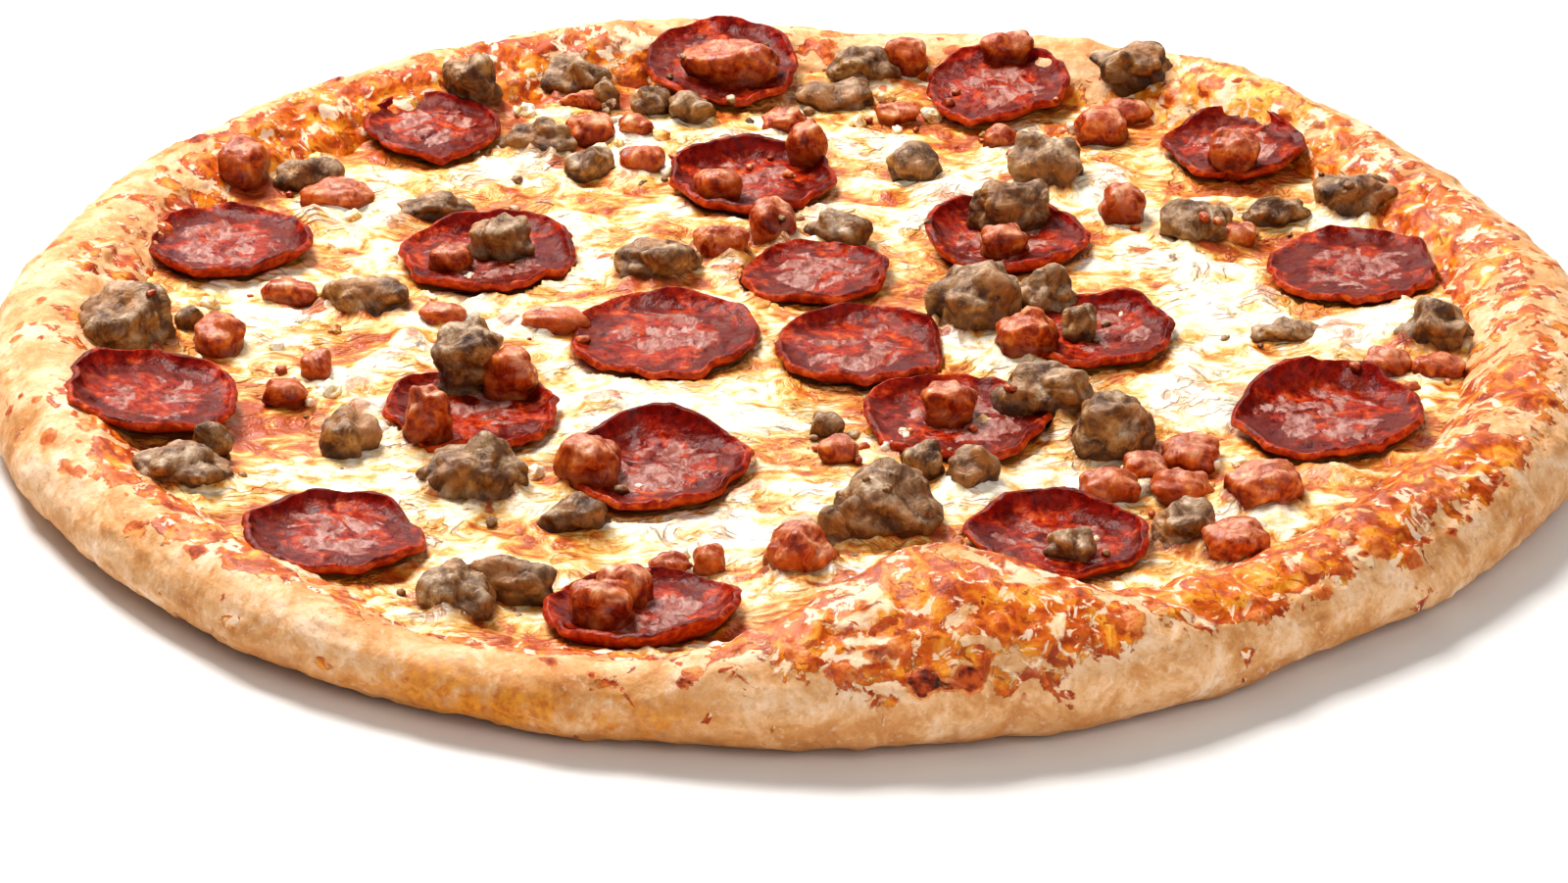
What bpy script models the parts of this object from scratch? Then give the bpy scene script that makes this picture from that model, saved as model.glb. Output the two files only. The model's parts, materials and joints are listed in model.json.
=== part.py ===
"""A whole round meat pizza: a puffed crust with an uneven raised rim, a bed of melted cheese, cupped
pepperoni slices, and chunks of sausage and ham.

Metres, +Z up. The origin is the middle of the flat underside, and -Y is the front. Each row of a table
below is one topping that was laid by hand, with its true place and size.
"""

import math
import statistics

import bmesh
import bpy
from mathutils import Vector, noise
from mathutils.bvhtree import BVHTree

GAP = 0.0003  # between two pieces that touch
MERGE = 0.000004  # points of a cut closer than this become one
WAYS_TO_COMBINE = (("EXACT", MERGE), ("EXACT", 0.1 * MERGE), ("MANIFOLD", MERGE), ("MANIFOLD", 0.1 * MERGE))
FLAT_ANGLE = 1.5  # degrees between faces that may become one
SHARP_ANGLE = 50.0  # degrees between faces whose shading isn't smoothed
RAY_HEIGHT = 0.2  # above everything, where the rays that look for a surface start

# Crust
RADIUS = 0.178
TURN_STEPS = 72
FLOOR_HEIGHT = 0.006
FOOT_RADIUS = 0.1465
CREST_RADIUS = 0.166
RIM_HEIGHT = 0.0214
RIM_PROFILE = (  # radius and height, from the foot of the rim's inner wall over the crest to the underside
    (FOOT_RADIUS, FLOOR_HEIGHT),
    (0.1502, 0.0118),
    (0.1545, 0.0162),
    (0.1600, 0.0199),
    (CREST_RADIUS, RIM_HEIGHT),
    (0.1712, 0.0200),
    (0.1752, 0.0168),
    (0.1775, 0.0124),
    (RADIUS, 0.0085),
    (0.1766, 0.0044),
    (0.1725, 0.0014),
    (0.1665, 0.0),
)
UNDERSIDE_RINGS = (0.120,)
FLOOR_RINGS = (0.070,)
SWELLINGS = (  # direction in degrees, half width, rise, and how far foot, crest and outside move out
    (-82.0, 8.0, 0.0080, -0.014, -0.018, 0.0000),
    (-74.0, 6.0, 0.0050, -0.010, -0.014, 0.0005),
    (-98.0, 5.0, -0.0030, 0.001, 0.000, -0.0020),
    (-114.0, 15.0, -0.0070, 0.002, 0.003, -0.0010),
    (-145.0, 14.0, -0.0025, 0.000, 0.000, -0.0025),
    (-57.0, 8.0, 0.0002, -0.004, -0.005, -0.0010),
    (-49.0, 6.0, 0.0000, -0.001, -0.001, -0.0030),
    (-34.0, 13.0, 0.0005, -0.004, -0.006, -0.0010),
    (-5.0, 16.0, 0.0000, -0.002, -0.003, 0.0035),
    (19.0, 8.0, -0.0020, -0.001, -0.002, 0.0000),
    (41.0, 5.0, 0.0020, 0.004, -0.002, 0.0010),
    (51.0, 5.0, 0.0050, 0.000, -0.003, 0.0025),
    (65.0, 5.0, 0.0015, -0.002, -0.001, 0.0005),
    (84.0, 7.0, -0.0040, 0.001, 0.000, -0.0010),
    (110.0, 12.0, 0.0015, 0.000, 0.000, 0.0005),
    (180.0, 20.0, 0.0005, -0.002, -0.003, 0.0000),
)
RIM_RIPPLE = 0.0009
RIM_RIPPLE_DETAIL = 34.0
UNEVEN_SEED = Vector((3.1, 7.7, 1.9))

# Cheese
CHEESE_TOP = 0.0112
CHEESE_RIM_TOP = 0.0128  # the melted cheese climbs a little towards the rim
CHEESE_CLIMB_RADIUS = 0.113
CHEESE_EDGE_TOP = 0.0126
CHEESE_EDGE_RADIUS = 0.1502
CHEESE_RINGS = (0.026, 0.050, 0.073, 0.095, CHEESE_CLIMB_RADIUS, 0.129, 0.1425)
CHEESE_SPOKES = ((0.060, 4), (0.100, 2))  # inside these radii only every fourth, or second, spoke is kept
CHEESE_RELIEF = 0.0012
CHEESE_DETAIL = 30.0

# Pepperoni
SLICE_THICKNESS = 0.0024
SLICE_STEPS = 16
SLICE_SINK = 0.0007
SLICE_REST = 0.7  # share of the radius at which a slice rests on what lies below
SLICE_RING = 0.62  # share of the radius where the flat middle ends
SLICE_RAGGED = 0.05
SLICE_RAGGED_DETAIL = 1.7
SLICE_EDGE_SHARE = 0.85  # thickness of the slice at its edge
SLICE_BEVEL = 0.97  # radius of the slice's underside
SLICE_LEAN = 0.6  # share of the slope below it that a slice takes up
SLICE_FEELERS = 8  # places round a slice where the slope below it is felt
SLICE_FACING = 2.0  # the larger, the narrower the part of the edge that is raised
SLICE_STEEPEST = 1.6  # radians that a slice's edge bends up at most
PEPPERONI = (  # x, y, diameter, cup, raised side in degrees, raised by
    (-0.0855, 0.1135, 0.0350, 0.0012, 100, 0.0010),
    (-0.017, 0.147, 0.040, 0.0012, 90, 0.0008),
    (0.050, 0.136, 0.037, 0.0014, 80, 0.0015),
    (-0.009, 0.088, 0.042, 0.0022, 104, 0.0050),
    (-0.129, 0.046, 0.041, 0.0018, -70, 0.0016),
    (-0.069, 0.044, 0.044, 0.0016, 95, 0.0012),
    (-0.028, -0.001, 0.044, 0.0010, 60, 0.0012),
    (0.015, -0.006, 0.041, 0.0014, 40, 0.0022),
    (0.006, 0.034, 0.036, 0.0008, 20, 0.0014),
    (0.049, 0.053, 0.043, 0.0022, 165, 0.0045),
    (0.105, 0.099, 0.036, 0.0014, 60, 0.0014),
    (0.128, 0.036, 0.041, 0.0012, 30, 0.0020),
    (0.115, -0.0445, 0.044, 0.0016, 100, 0.0060),
    (0.055, -0.106, 0.041, 0.0022, 80, 0.0045),
    (-0.0285, -0.066, 0.043, 0.0018, 88, 0.0055),
    (-0.069, -0.038, 0.041, 0.0012, 0, 0.0010),
    (-0.0955, -0.101, 0.040, 0.0016, 120, 0.0016),
    (-0.1385, -0.041, 0.041, 0.0016, 165, 0.0038),
    (-0.030, -0.134, 0.042, 0.0024, -62, 0.0032),
    (0.036, -0.043, 0.043, 0.0010, 120, 0.0012),
    (0.068, 0.000, 0.038, 0.0014, 45, 0.0022),
)

# Chunks: x, y, width, depth, height above what it lies on, turn in degrees
SAUSAGE = (
    (-0.147, -0.005, 0.021, 0.021, 0.0145, 20),
    (0.020, -0.097, 0.024, 0.020, 0.0140, 0),
    (0.041, 0.011, 0.022, 0.018, 0.0140, 10),
    (-0.067, -0.073, 0.024, 0.018, 0.0120, 0),
    (0.069, -0.054, 0.019, 0.018, 0.0130, 30),
    (0.051, 0.062, 0.021, 0.014, 0.0110, 25),
    (-0.070, -0.024, 0.019, 0.013, 0.0140, 60),
    (0.055, -0.035, 0.023, 0.015, 0.0090, -15),
    (0.060, 0.088, 0.018, 0.015, 0.0110, -20),
    (-0.129, -0.072, 0.021, 0.016, 0.0080, 0),
    (0.132, 0.070, 0.020, 0.013, 0.0100, 10),
    (-0.096, 0.019, 0.022, 0.014, 0.0080, -10),
    (-0.068, -0.131, 0.016, 0.014, 0.0110, 0),
    (-0.077, 0.131, 0.015, 0.012, 0.0130, -30),
    (0.143, -0.004, 0.016, 0.013, 0.0110, -25),
    (0.094, 0.058, 0.019, 0.013, 0.0090, 0),
    (-0.052, 0.142, 0.017, 0.014, 0.0090, -20),
    (-0.030, 0.036, 0.020, 0.013, 0.0080, 0),
    (0.083, 0.134, 0.019, 0.012, 0.0080, -10),
    (0.018, 0.152, 0.018, 0.012, 0.0080, 0),
    (0.0815, -0.100, 0.016, 0.014, 0.0080, 30),
    (0.058, 0.017, 0.014, 0.012, 0.0100, 0),
    (-0.060, 0.108, 0.019, 0.011, 0.0080, -10),
    (-0.0665, 0.046, 0.017, 0.012, 0.0090, 0),
)
HAM = (
    (-0.0145, 0.142, 0.024, 0.013, 0.0085, -6),
    (0.002, -0.114, 0.015, 0.013, 0.0110, 20),
    (0.099, -0.082, 0.017, 0.014, 0.0080, 0),
    (0.052, -0.007, 0.015, 0.012, 0.0090, 20),
    (-0.043, -0.070, 0.014, 0.012, 0.0090, -10),
    (-0.128, 0.084, 0.011, 0.015, 0.0090, -20),
    (0.092, -0.110, 0.014, 0.013, 0.0080, 30),
    (-0.078, -0.052, 0.011, 0.009, 0.0120, 0),
    (0.104, 0.088, 0.012, 0.011, 0.0090, 0),
    (-0.061, -0.028, 0.012, 0.011, 0.0100, 0),
    (-0.038, -0.137, 0.013, 0.011, 0.0090, 0),
    (-0.016, 0.047, 0.014, 0.011, 0.0080, -20),
    (-0.004, 0.057, 0.011, 0.010, 0.0100, 0),
)
# Smaller toppings, each made one with what it lies on
SMALL_SAUSAGE = (
    (-0.045, 0.134, 0.008, 0.008, 0.0070, 0),
    (-0.034, 0.130, 0.010, 0.009, 0.0060, 0),
    (-0.024, 0.126, 0.012, 0.011, 0.0070, 0),
    (-0.047, 0.095, 0.013, 0.010, 0.0070, 30),
    (-0.082, 0.071, 0.019, 0.007, 0.0045, 6),
    (-0.134, 0.006, 0.007, 0.006, 0.0050, 0),
    (-0.123, -0.060, 0.009, 0.008, 0.0080, 0),
    (-0.045, -0.087, 0.014, 0.010, 0.0060, 0),
    (-0.0575, -0.121, 0.020, 0.010, 0.0085, -15),
    (0.011, 0.139, 0.019, 0.013, 0.0050, 0),
    (0.029, 0.093, 0.013, 0.011, 0.0080, 0),
    (0.011, 0.057, 0.017, 0.009, 0.0070, -20),
    (0.113, 0.065, 0.015, 0.009, 0.0060, 10),
    (0.064, -0.002, 0.008, 0.008, 0.0080, 0),
    (0.111, 0.003, 0.018, 0.008, 0.0040, 0),
    (0.009, -0.102, 0.009, 0.009, 0.0090, 0),
    (0.038, -0.075, 0.012, 0.012, 0.0090, 0),
    (0.028, -0.070, 0.010, 0.008, 0.0070, 0),
    (0.008, -0.047, 0.008, 0.007, 0.0050, 0),
    (-0.095, -0.054, 0.013, 0.012, 0.0080, 0),
    (-0.113, 0.085, 0.018, 0.010, 0.0075, 12),
    (0.0575, -0.112, 0.011, 0.009, 0.0055, 0),
)
SMALL_HAM = (
    (-0.049, 0.133, 0.014, 0.006, 0.0040, 0),
    (-0.048, 0.115, 0.012, 0.010, 0.0060, 20),
    (-0.037, 0.117, 0.009, 0.008, 0.0050, 0),
    (-0.035, 0.097, 0.011, 0.009, 0.0060, 0),
    (-0.001, 0.122, 0.012, 0.008, 0.0045, 0),
    (0.004, 0.099, 0.010, 0.010, 0.0090, 0),
    (0.026, 0.128, 0.011, 0.007, 0.0040, 0),
    (0.050, 0.113, 0.008, 0.007, 0.0050, 0),
    (0.028, 0.153, 0.011, 0.009, 0.0080, 0),
    (0.053, 0.149, 0.013, 0.009, 0.0060, 0),
    (0.074, 0.111, 0.013, 0.011, 0.0070, 0),
    (0.077, 0.068, 0.011, 0.010, 0.0080, 0),
    (0.0815, 0.125, 0.012, 0.009, 0.0050, 0),
    (0.103, 0.055, 0.009, 0.007, 0.0045, 0),
    (-0.106, 0.076, 0.018, 0.012, 0.0045, 10),
    (-0.113, 0.023, 0.013, 0.009, 0.0050, -10),
    (-0.127, -0.003, 0.012, 0.014, 0.0070, 0),
    (-0.104, -0.018, 0.008, 0.008, 0.0060, 0),
    (-0.110, -0.031, 0.010, 0.008, 0.0045, 0),
    (-0.053, 0.005, 0.016, 0.008, 0.0045, -10),
    (-0.034, -0.127, 0.012, 0.010, 0.0080, 0),
    (-0.017, -0.108, 0.007, 0.007, 0.0060, 0),
    (-0.025, -0.108, 0.009, 0.006, 0.0045, 0),
    (0.034, -0.042, 0.012, 0.011, 0.0080, 0),
    (0.049, 0.046, 0.011, 0.009, 0.0070, 0),
    (0.067, -0.077, 0.013, 0.009, 0.0060, 0),
    (0.075, -0.069, 0.011, 0.009, 0.0060, 0),
    (0.082, -0.078, 0.013, 0.010, 0.0060, 0),
    (0.085, -0.061, 0.013, 0.012, 0.0055, 0),
    (0.131, -0.018, 0.011, 0.009, 0.0050, 0),
    (0.142, -0.020, 0.012, 0.008, 0.0045, 0),
    (0.010, -0.061, 0.009, 0.009, 0.0045, 0),
    (-0.0775, 0.039, 0.010, 0.009, 0.0050, 0),
    (-0.017, 0.079, 0.012, 0.009, 0.0060, 0),
    (-0.078, 0.011, 0.010, 0.007, 0.0045, -10),
)
BURIED_SHARE = 0.35  # of a chunk's height that lies below the surface it sits in
FEELERS = ((0.0, 0.0), (0.3, 0.0), (-0.3, 0.0), (0.0, 0.3), (0.0, -0.3))  # shares of its size, to feel that
SMALL_SIDES = (6, 4)  # segments and rings of a small topping
LUMPINESS = {"sausage": (2.3, 0.42), "ham": (2.9, 0.20)}  # squareness, and share that the lumps stand out
LUMP_DETAIL = 1.5
LUMP_OFFSET = Vector((3.7, 1.3, 2.1))  # moves the noise on from one chunk to the next

# Materials: colour, roughness
FINISHES = {
    "crust": ((0.76, 0.50, 0.27), 0.70),
    "cheese": ((0.95, 0.84, 0.60), 0.42),
    "pepperoni": ((0.42, 0.045, 0.020), 0.32),
    "sausage": ((0.24, 0.15, 0.085), 0.60),
    "ham": ((0.55, 0.13, 0.055), 0.42),
}


def clear_scene():
    for thing in list(bpy.data.objects):
        bpy.data.objects.remove(thing, do_unlink=True)


def new_collection(name):
    collection = bpy.data.collections.new(name)
    bpy.context.scene.collection.children.link(collection)
    return collection


def new_finish(name, colour, roughness):
    finish = bpy.data.materials.new(name)
    finish.use_nodes = True
    shader = finish.node_tree.nodes["Principled BSDF"]
    shader.inputs["Base Color"].default_value = (*colour, 1.0)
    shader.inputs["Roughness"].default_value = roughness
    shader.inputs["Metallic"].default_value = 0.0
    return finish


def add_object(name, mesh, finish, collection):
    piece = bpy.data.objects.new(name, mesh)
    mesh.materials.clear()
    mesh.materials.append(finish)
    collection.objects.link(piece)
    return piece


def apply_modifiers(piece):
    """Replaces the object's mesh by the one that its modifiers make."""
    finish = piece.data.materials[0]
    graph = bpy.context.evaluated_depsgraph_get()
    made = bpy.data.meshes.new_from_object(piece.evaluated_get(graph))
    piece.modifiers.clear()
    made.materials.clear()
    made.materials.append(finish)
    piece.data = made


def turned(name, profile, steps, finish, collection):
    """A closed solid turned round Z from a profile that runs from the axis over the top to the axis below."""
    mesh = bpy.data.meshes.new(name)
    edges = [(i, i + 1) for i in range(len(profile) - 1)]
    mesh.from_pydata([(radius, 0.0, height) for radius, height in profile], edges, [])
    piece = add_object(name, mesh, finish, collection)
    screw = piece.modifiers.new("Turn", "SCREW")
    screw.axis = "Z"
    screw.steps = steps
    screw.render_steps = steps
    screw.use_merge_vertices = True
    screw.merge_threshold = 0.00001
    apply_modifiers(piece)
    return piece


def move_points(piece, place):
    """Moves every point to where place says, and splits the faces, which are then no longer flat."""
    form = bmesh.new()
    form.from_mesh(piece.data)
    for vertex in form.verts:
        vertex.co = place(vertex.co)
    bmesh.ops.triangulate(form, faces=form.faces)
    form.to_mesh(piece.data)
    form.free()


def mix(a, b, share):
    return a + (b - a) * min(max(share, 0.0), 1.0)


def signed_noise(place):
    """Smooth noise that runs from about -1 to 1."""
    return 2.0 * noise.noise(place)


def swelling_at(angle):
    """Rise, and the outward moves of foot, crest and outside, in a direction given in degrees."""
    sums = [0.0, 0.0, 0.0, 0.0]
    for direction, half_width, *moves in SWELLINGS:
        away = ((angle - direction + 180.0) % 360.0 - 180.0) / half_width
        bell = math.exp(-away * away)
        sums = [total + move * bell for total, move in zip(sums, moves)]
    return sums


def uneven_rim(point):
    """Where a point of the even turned crust, or of the cheese's edge, lies on the real uneven one."""
    radius = math.hypot(point.x, point.y)
    if radius < FLOOR_RINGS[-1] + GAP:
        return point
    rise, foot_out, crest_out, outside_out = swelling_at(math.degrees(math.atan2(point.y, point.x)))
    above = mix(0.0, 1.0, (point.z - FLOOR_HEIGHT) / (RIM_HEIGHT - FLOOR_HEIGHT))
    if radius > FOOT_RADIUS and point.z < FLOOR_HEIGHT or radius > RADIUS - GAP:
        move = outside_out
    elif radius > CREST_RADIUS:
        move = mix(crest_out, outside_out, (radius - CREST_RADIUS) / (RADIUS - CREST_RADIUS))
    elif radius > FOOT_RADIUS:
        move = mix(foot_out, crest_out, (radius - FOOT_RADIUS) / (CREST_RADIUS - FOOT_RADIUS))
    else:
        move = mix(0.0, foot_out, (radius - CHEESE_CLIMB_RADIUS) / (FOOT_RADIUS - CHEESE_CLIMB_RADIUS))
    ripple = RIM_RIPPLE * signed_noise(point * RIM_RIPPLE_DETAIL + UNEVEN_SEED) * above
    outward = Vector((point.x, point.y, 0.0)).normalized()
    return point + outward * (move + ripple) + Vector((0.0, 0.0, rise * above + ripple))


def make_crust(finish, collection):
    floor = [(0.0, FLOOR_HEIGHT)] + [(radius, FLOOR_HEIGHT) for radius in FLOOR_RINGS]
    underside = [(radius, 0.0) for radius in UNDERSIDE_RINGS] + [(0.0, 0.0)]
    crust = turned("crust", floor + list(RIM_PROFILE) + underside, TURN_STEPS, finish, collection)
    move_points(crust, uneven_rim)
    return crust


def climb_share(radius):
    """0 over the middle of the cheese, up to 1 at its last ring."""
    return (radius - CHEESE_CLIMB_RADIUS) / (CHEESE_RINGS[-1] - CHEESE_CLIMB_RADIUS)


def cheese_height(radius):
    return mix(CHEESE_TOP, CHEESE_RIM_TOP, climb_share(radius))


def cheese_relief(point):
    """Low hills of the melted cheese, which fade out towards its edge."""
    fade = mix(1.0, 0.0, climb_share(math.hypot(point.x, point.y)))
    return CHEESE_RELIEF * signed_noise(Vector((point.x, point.y, 0.0)) * CHEESE_DETAIL + UNEVEN_SEED) * fade


def thin_spokes(piece):
    """Merges neighbouring points of the inner rings, where the spokes of a turned disc crowd together."""
    form = bmesh.new()
    form.from_mesh(piece.data)
    step = 2.0 * math.pi / TURN_STEPS
    rings = {}
    for vertex in form.verts:
        spoke = round(math.atan2(vertex.co.y, vertex.co.x) / step) % TURN_STEPS
        ring = (round(math.hypot(vertex.co.x, vertex.co.y), 4), round(vertex.co.z, 5))
        rings[ring, spoke] = vertex
    merges = {}
    for (ring, spoke), vertex in rings.items():
        every = next((count for limit, count in CHEESE_SPOKES if ring[0] < limit), 1)
        if ring[1] < CHEESE_TOP - GAP and ring[0] < CHEESE_CLIMB_RADIUS:
            every = CHEESE_SPOKES[0][1]
        kept = rings.get((ring, spoke - spoke % every), vertex)
        if kept is not vertex:
            merges[vertex] = kept
    bmesh.ops.weld_verts(form, targetmap=merges)
    form.to_mesh(piece.data)
    form.free()


def make_cheese(finish, collection):
    top = [(0.0, CHEESE_TOP)] + [(radius, cheese_height(radius)) for radius in CHEESE_RINGS]
    edge = [(CHEESE_EDGE_RADIUS, CHEESE_EDGE_TOP), (FOOT_RADIUS - 2.0 * GAP, FLOOR_HEIGHT + GAP)]
    under = [(FLOOR_RINGS[-1], FLOOR_HEIGHT + GAP), (0.0, FLOOR_HEIGHT + GAP)]
    cheese = turned("cheese", top + edge + under, TURN_STEPS, finish, collection)
    thin_spokes(cheese)

    def place(point):
        on_top = point.z > CHEESE_TOP - GAP and math.hypot(point.x, point.y) < CHEESE_EDGE_RADIUS - GAP
        hill = cheese_relief(point) if on_top else 0.0
        return uneven_rim(point) + Vector((0.0, 0.0, hill))

    move_points(cheese, place)
    return cheese


def tree_of(piece):
    """A search tree of the object's faces, all of whose meshes are in world space."""
    form = bmesh.new()
    form.from_mesh(piece.data)
    tree = BVHTree.FromBMesh(form)
    form.free()
    return tree


def surface_under(x, y, trees):
    """Height of the topmost surface at a place."""
    heights = [0.0]
    for tree in trees:
        hit = tree.ray_cast(Vector((x, y, RAY_HEIGHT)), Vector((0.0, 0.0, -1.0)))[0]
        if hit:
            heights.append(hit.z)
    return max(heights)


def leaning_plane(x, y, reach, trees):
    """Height at the middle and slopes of the plane that a slice of this reach lies on."""
    turns = [2.0 * math.pi * step / SLICE_FEELERS for step in range(SLICE_FEELERS)]
    ways = [(math.cos(turn), math.sin(turn)) for turn in turns]
    rim = [(cx, cy, surface_under(x + reach * cx, y + reach * cy, trees)) for cx, cy in ways]
    middle = sum(z for _, _, z in rim) / len(rim)
    slope_x = sum(cx * z for cx, _, z in rim) * 2.0 / len(rim) / reach
    slope_y = sum(cy * z for _, cy, z in rim) * 2.0 / len(rim) / reach
    return middle, slope_x, slope_y


def make_slice(name, row, seed, trees, finish, collection):
    """A cupped pepperoni slice: a flat middle, sunk a little, and an edge that bends up round it."""
    x, y, diameter, cup, side, raised = row
    reach = diameter / 2.0
    ring = SLICE_RING * reach
    profile = (
        (0.0, SLICE_THICKNESS), (ring, SLICE_THICKNESS), (reach, SLICE_EDGE_SHARE * SLICE_THICKNESS),
        (SLICE_BEVEL * reach, 0.0), (ring, 0.0), (0.0, 0.0),
    )
    piece = turned(name, profile, SLICE_STEPS, finish, collection)
    middle, slope_x, slope_y = leaning_plane(x, y, SLICE_REST * reach, trees)
    middle += (1.0 - SLICE_LEAN) * math.hypot(slope_x, slope_y) * SLICE_REST * reach
    towards = math.radians(side)

    def place(point):
        radius = math.hypot(point.x, point.y)
        angle = math.atan2(point.y, point.x)
        across, up = radius, point.z
        if radius > ring + GAP:
            ragged = Vector((math.cos(angle), math.sin(angle), seed)) * SLICE_RAGGED_DETAIL
            along = radius * (1.0 + SLICE_RAGGED * signed_noise(ragged)) - ring
            facing = max(math.cos(angle - towards), 0.0) ** SLICE_FACING
            bend = min(2.0 * (cup + raised * facing) / (reach - ring), SLICE_STEEPEST)
            across = ring + along * math.sin(bend) / bend - point.z * math.sin(bend)
            up = along * (1.0 - math.cos(bend)) / bend + point.z * math.cos(bend)
        local_x = across * math.cos(angle)
        local_y = across * math.sin(angle)
        lying = middle + SLICE_LEAN * (slope_x * local_x + slope_y * local_y)
        return Vector((x + local_x, y + local_y, lying - SLICE_SINK + up))

    move_points(piece, place)
    return piece


def make_lump(name, kind, row, seed, small, trees, finish, collection):
    """A chunk of meat, sunk in what it lies on by a share of its height. A small one has fewer faces."""
    x, y, width, depth, height, turn = row
    squareness, lumps = LUMPINESS[kind]
    mesh = bpy.data.meshes.new(name)
    form = bmesh.new()
    if small:
        bmesh.ops.create_uvsphere(form, u_segments=SMALL_SIDES[0], v_segments=SMALL_SIDES[1], radius=1.0)
        bmesh.ops.triangulate(form, faces=form.faces)
    else:
        bmesh.ops.create_icosphere(form, subdivisions=2, radius=1.0)
    offset = LUMP_OFFSET * seed
    for vertex in form.verts:
        way = vertex.co.normalized()
        round_box = sum(abs(part) ** squareness for part in way) ** (1.0 / squareness)
        vertex.co = way / round_box * (1.0 + lumps * noise.noise(way * LUMP_DETAIL + offset))
    full = Vector((width, depth, height / (1.0 - BURIED_SHARE)))
    low = Vector([min(vertex.co[i] for vertex in form.verts) for i in range(3)])
    high = Vector([max(vertex.co[i] for vertex in form.verts) for i in range(3)])
    cosine, sine = math.cos(math.radians(turn)), math.sin(math.radians(turn))
    ground = statistics.median(surface_under(x + width * a, y + depth * b, trees) for a, b in FEELERS)
    for vertex in form.verts:
        local = Vector([((vertex.co[i] - low[i]) / (high[i] - low[i]) - 0.5) * full[i] for i in range(3)])
        vertex.co = (
            x + local.x * cosine - local.y * sine,
            y + local.x * sine + local.y * cosine,
            ground + height - full.z / 2.0 + local.z,
        )
    form.to_mesh(mesh)
    form.free()
    return add_object(name, mesh, finish, collection)


def grown(piece, by, cutters):
    """A cutter: a copy of a piece that is larger by this much all round."""
    cutter = piece.copy()
    cutter.data = piece.data.copy()
    cutter.name = piece.name + "_room"
    cutter.hide_render = True
    cutter.display_type = "WIRE"
    form = bmesh.new()
    form.from_mesh(cutter.data)
    form.normal_update()
    moves = [vertex.normal * vertex.calc_shell_factor() * by for vertex in form.verts]
    for vertex, move in zip(form.verts, moves):
        vertex.co += move
    form.to_mesh(cutter.data)
    form.free()
    cutters.objects.link(cutter)
    return cutter


def box_of(piece):
    points = [vertex.co for vertex in piece.data.vertices]
    return ([min(p[i] for p in points) for i in range(3)], [max(p[i] for p in points) for i in range(3)])


def boxes_meet(first, second):
    return all(first[0][i] - GAP < second[1][i] and second[0][i] - GAP < first[1][i] for i in range(3))


def keep_largest_body(form):
    """Drops the loose scraps that a cut leaves."""
    left = set(form.verts)
    bodies = []
    while left:
        body = set()
        front = [left.pop()]
        while front:
            vertex = front.pop()
            body.add(vertex)
            near = {edge.other_vert(vertex) for edge in vertex.link_edges} & left
            left -= near
            front.extend(near)
        bodies.append(body)
    largest = max(bodies, key=len)
    bmesh.ops.delete(form, geom=[v for v in form.verts if v not in largest], context="VERTS")


def cleaned(mesh, merge):
    """The mesh that a cut or join made, tidied, or None where it isn't one closed body."""
    form = bmesh.new()
    form.from_mesh(mesh)
    bmesh.ops.remove_doubles(form, verts=form.verts, dist=merge)
    bmesh.ops.dissolve_degenerate(form, edges=form.edges, dist=merge)
    bmesh.ops.triangulate(form, faces=form.faces)
    keep_largest_body(form)
    closed = bool(form.faces) and all(edge.is_manifold for edge in form.edges)
    made = mesh.copy()
    form.to_mesh(made)
    form.free()
    return made if closed else None


def combine(piece, other, operation):
    """Cuts the other solid away from the piece, or joins it on."""
    before = piece.data
    for solver, merge in WAYS_TO_COMBINE:
        piece.data = before
        change = piece.modifiers.new("Combine", "BOOLEAN")
        change.operation = operation
        change.object = other
        change.solver = solver
        apply_modifiers(piece)
        made = cleaned(piece.data, merge)
        if made:
            piece.data = made
            return
    piece.data = before


def dissolve_flat(piece):
    """Joins the faces that lie all but flat beside each other, which cuts leave in plenty."""
    form = bmesh.new()
    form.from_mesh(piece.data)
    bmesh.ops.dissolve_limit(form, angle_limit=math.radians(FLAT_ANGLE), verts=form.verts, edges=form.edges)
    bmesh.ops.triangulate(form, faces=form.faces)
    if all(edge.is_manifold for edge in form.edges):
        form.to_mesh(piece.data)
    form.free()


def make_room(piece, rooms, host=None):
    """Cuts a new piece back from the room that every earlier piece but its host takes up."""
    box = box_of(piece)
    for owner, cutter in rooms:
        if owner is not host and boxes_meet(box, box_of(cutter)):
            combine(piece, cutter, "DIFFERENCE")


def host_of(row, placed, trees):
    """The placed piece whose surface is topmost under a small topping."""
    heights = [surface_under(row[0], row[1], [tree]) for tree in trees]
    return placed[heights.index(max(heights))]


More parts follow.
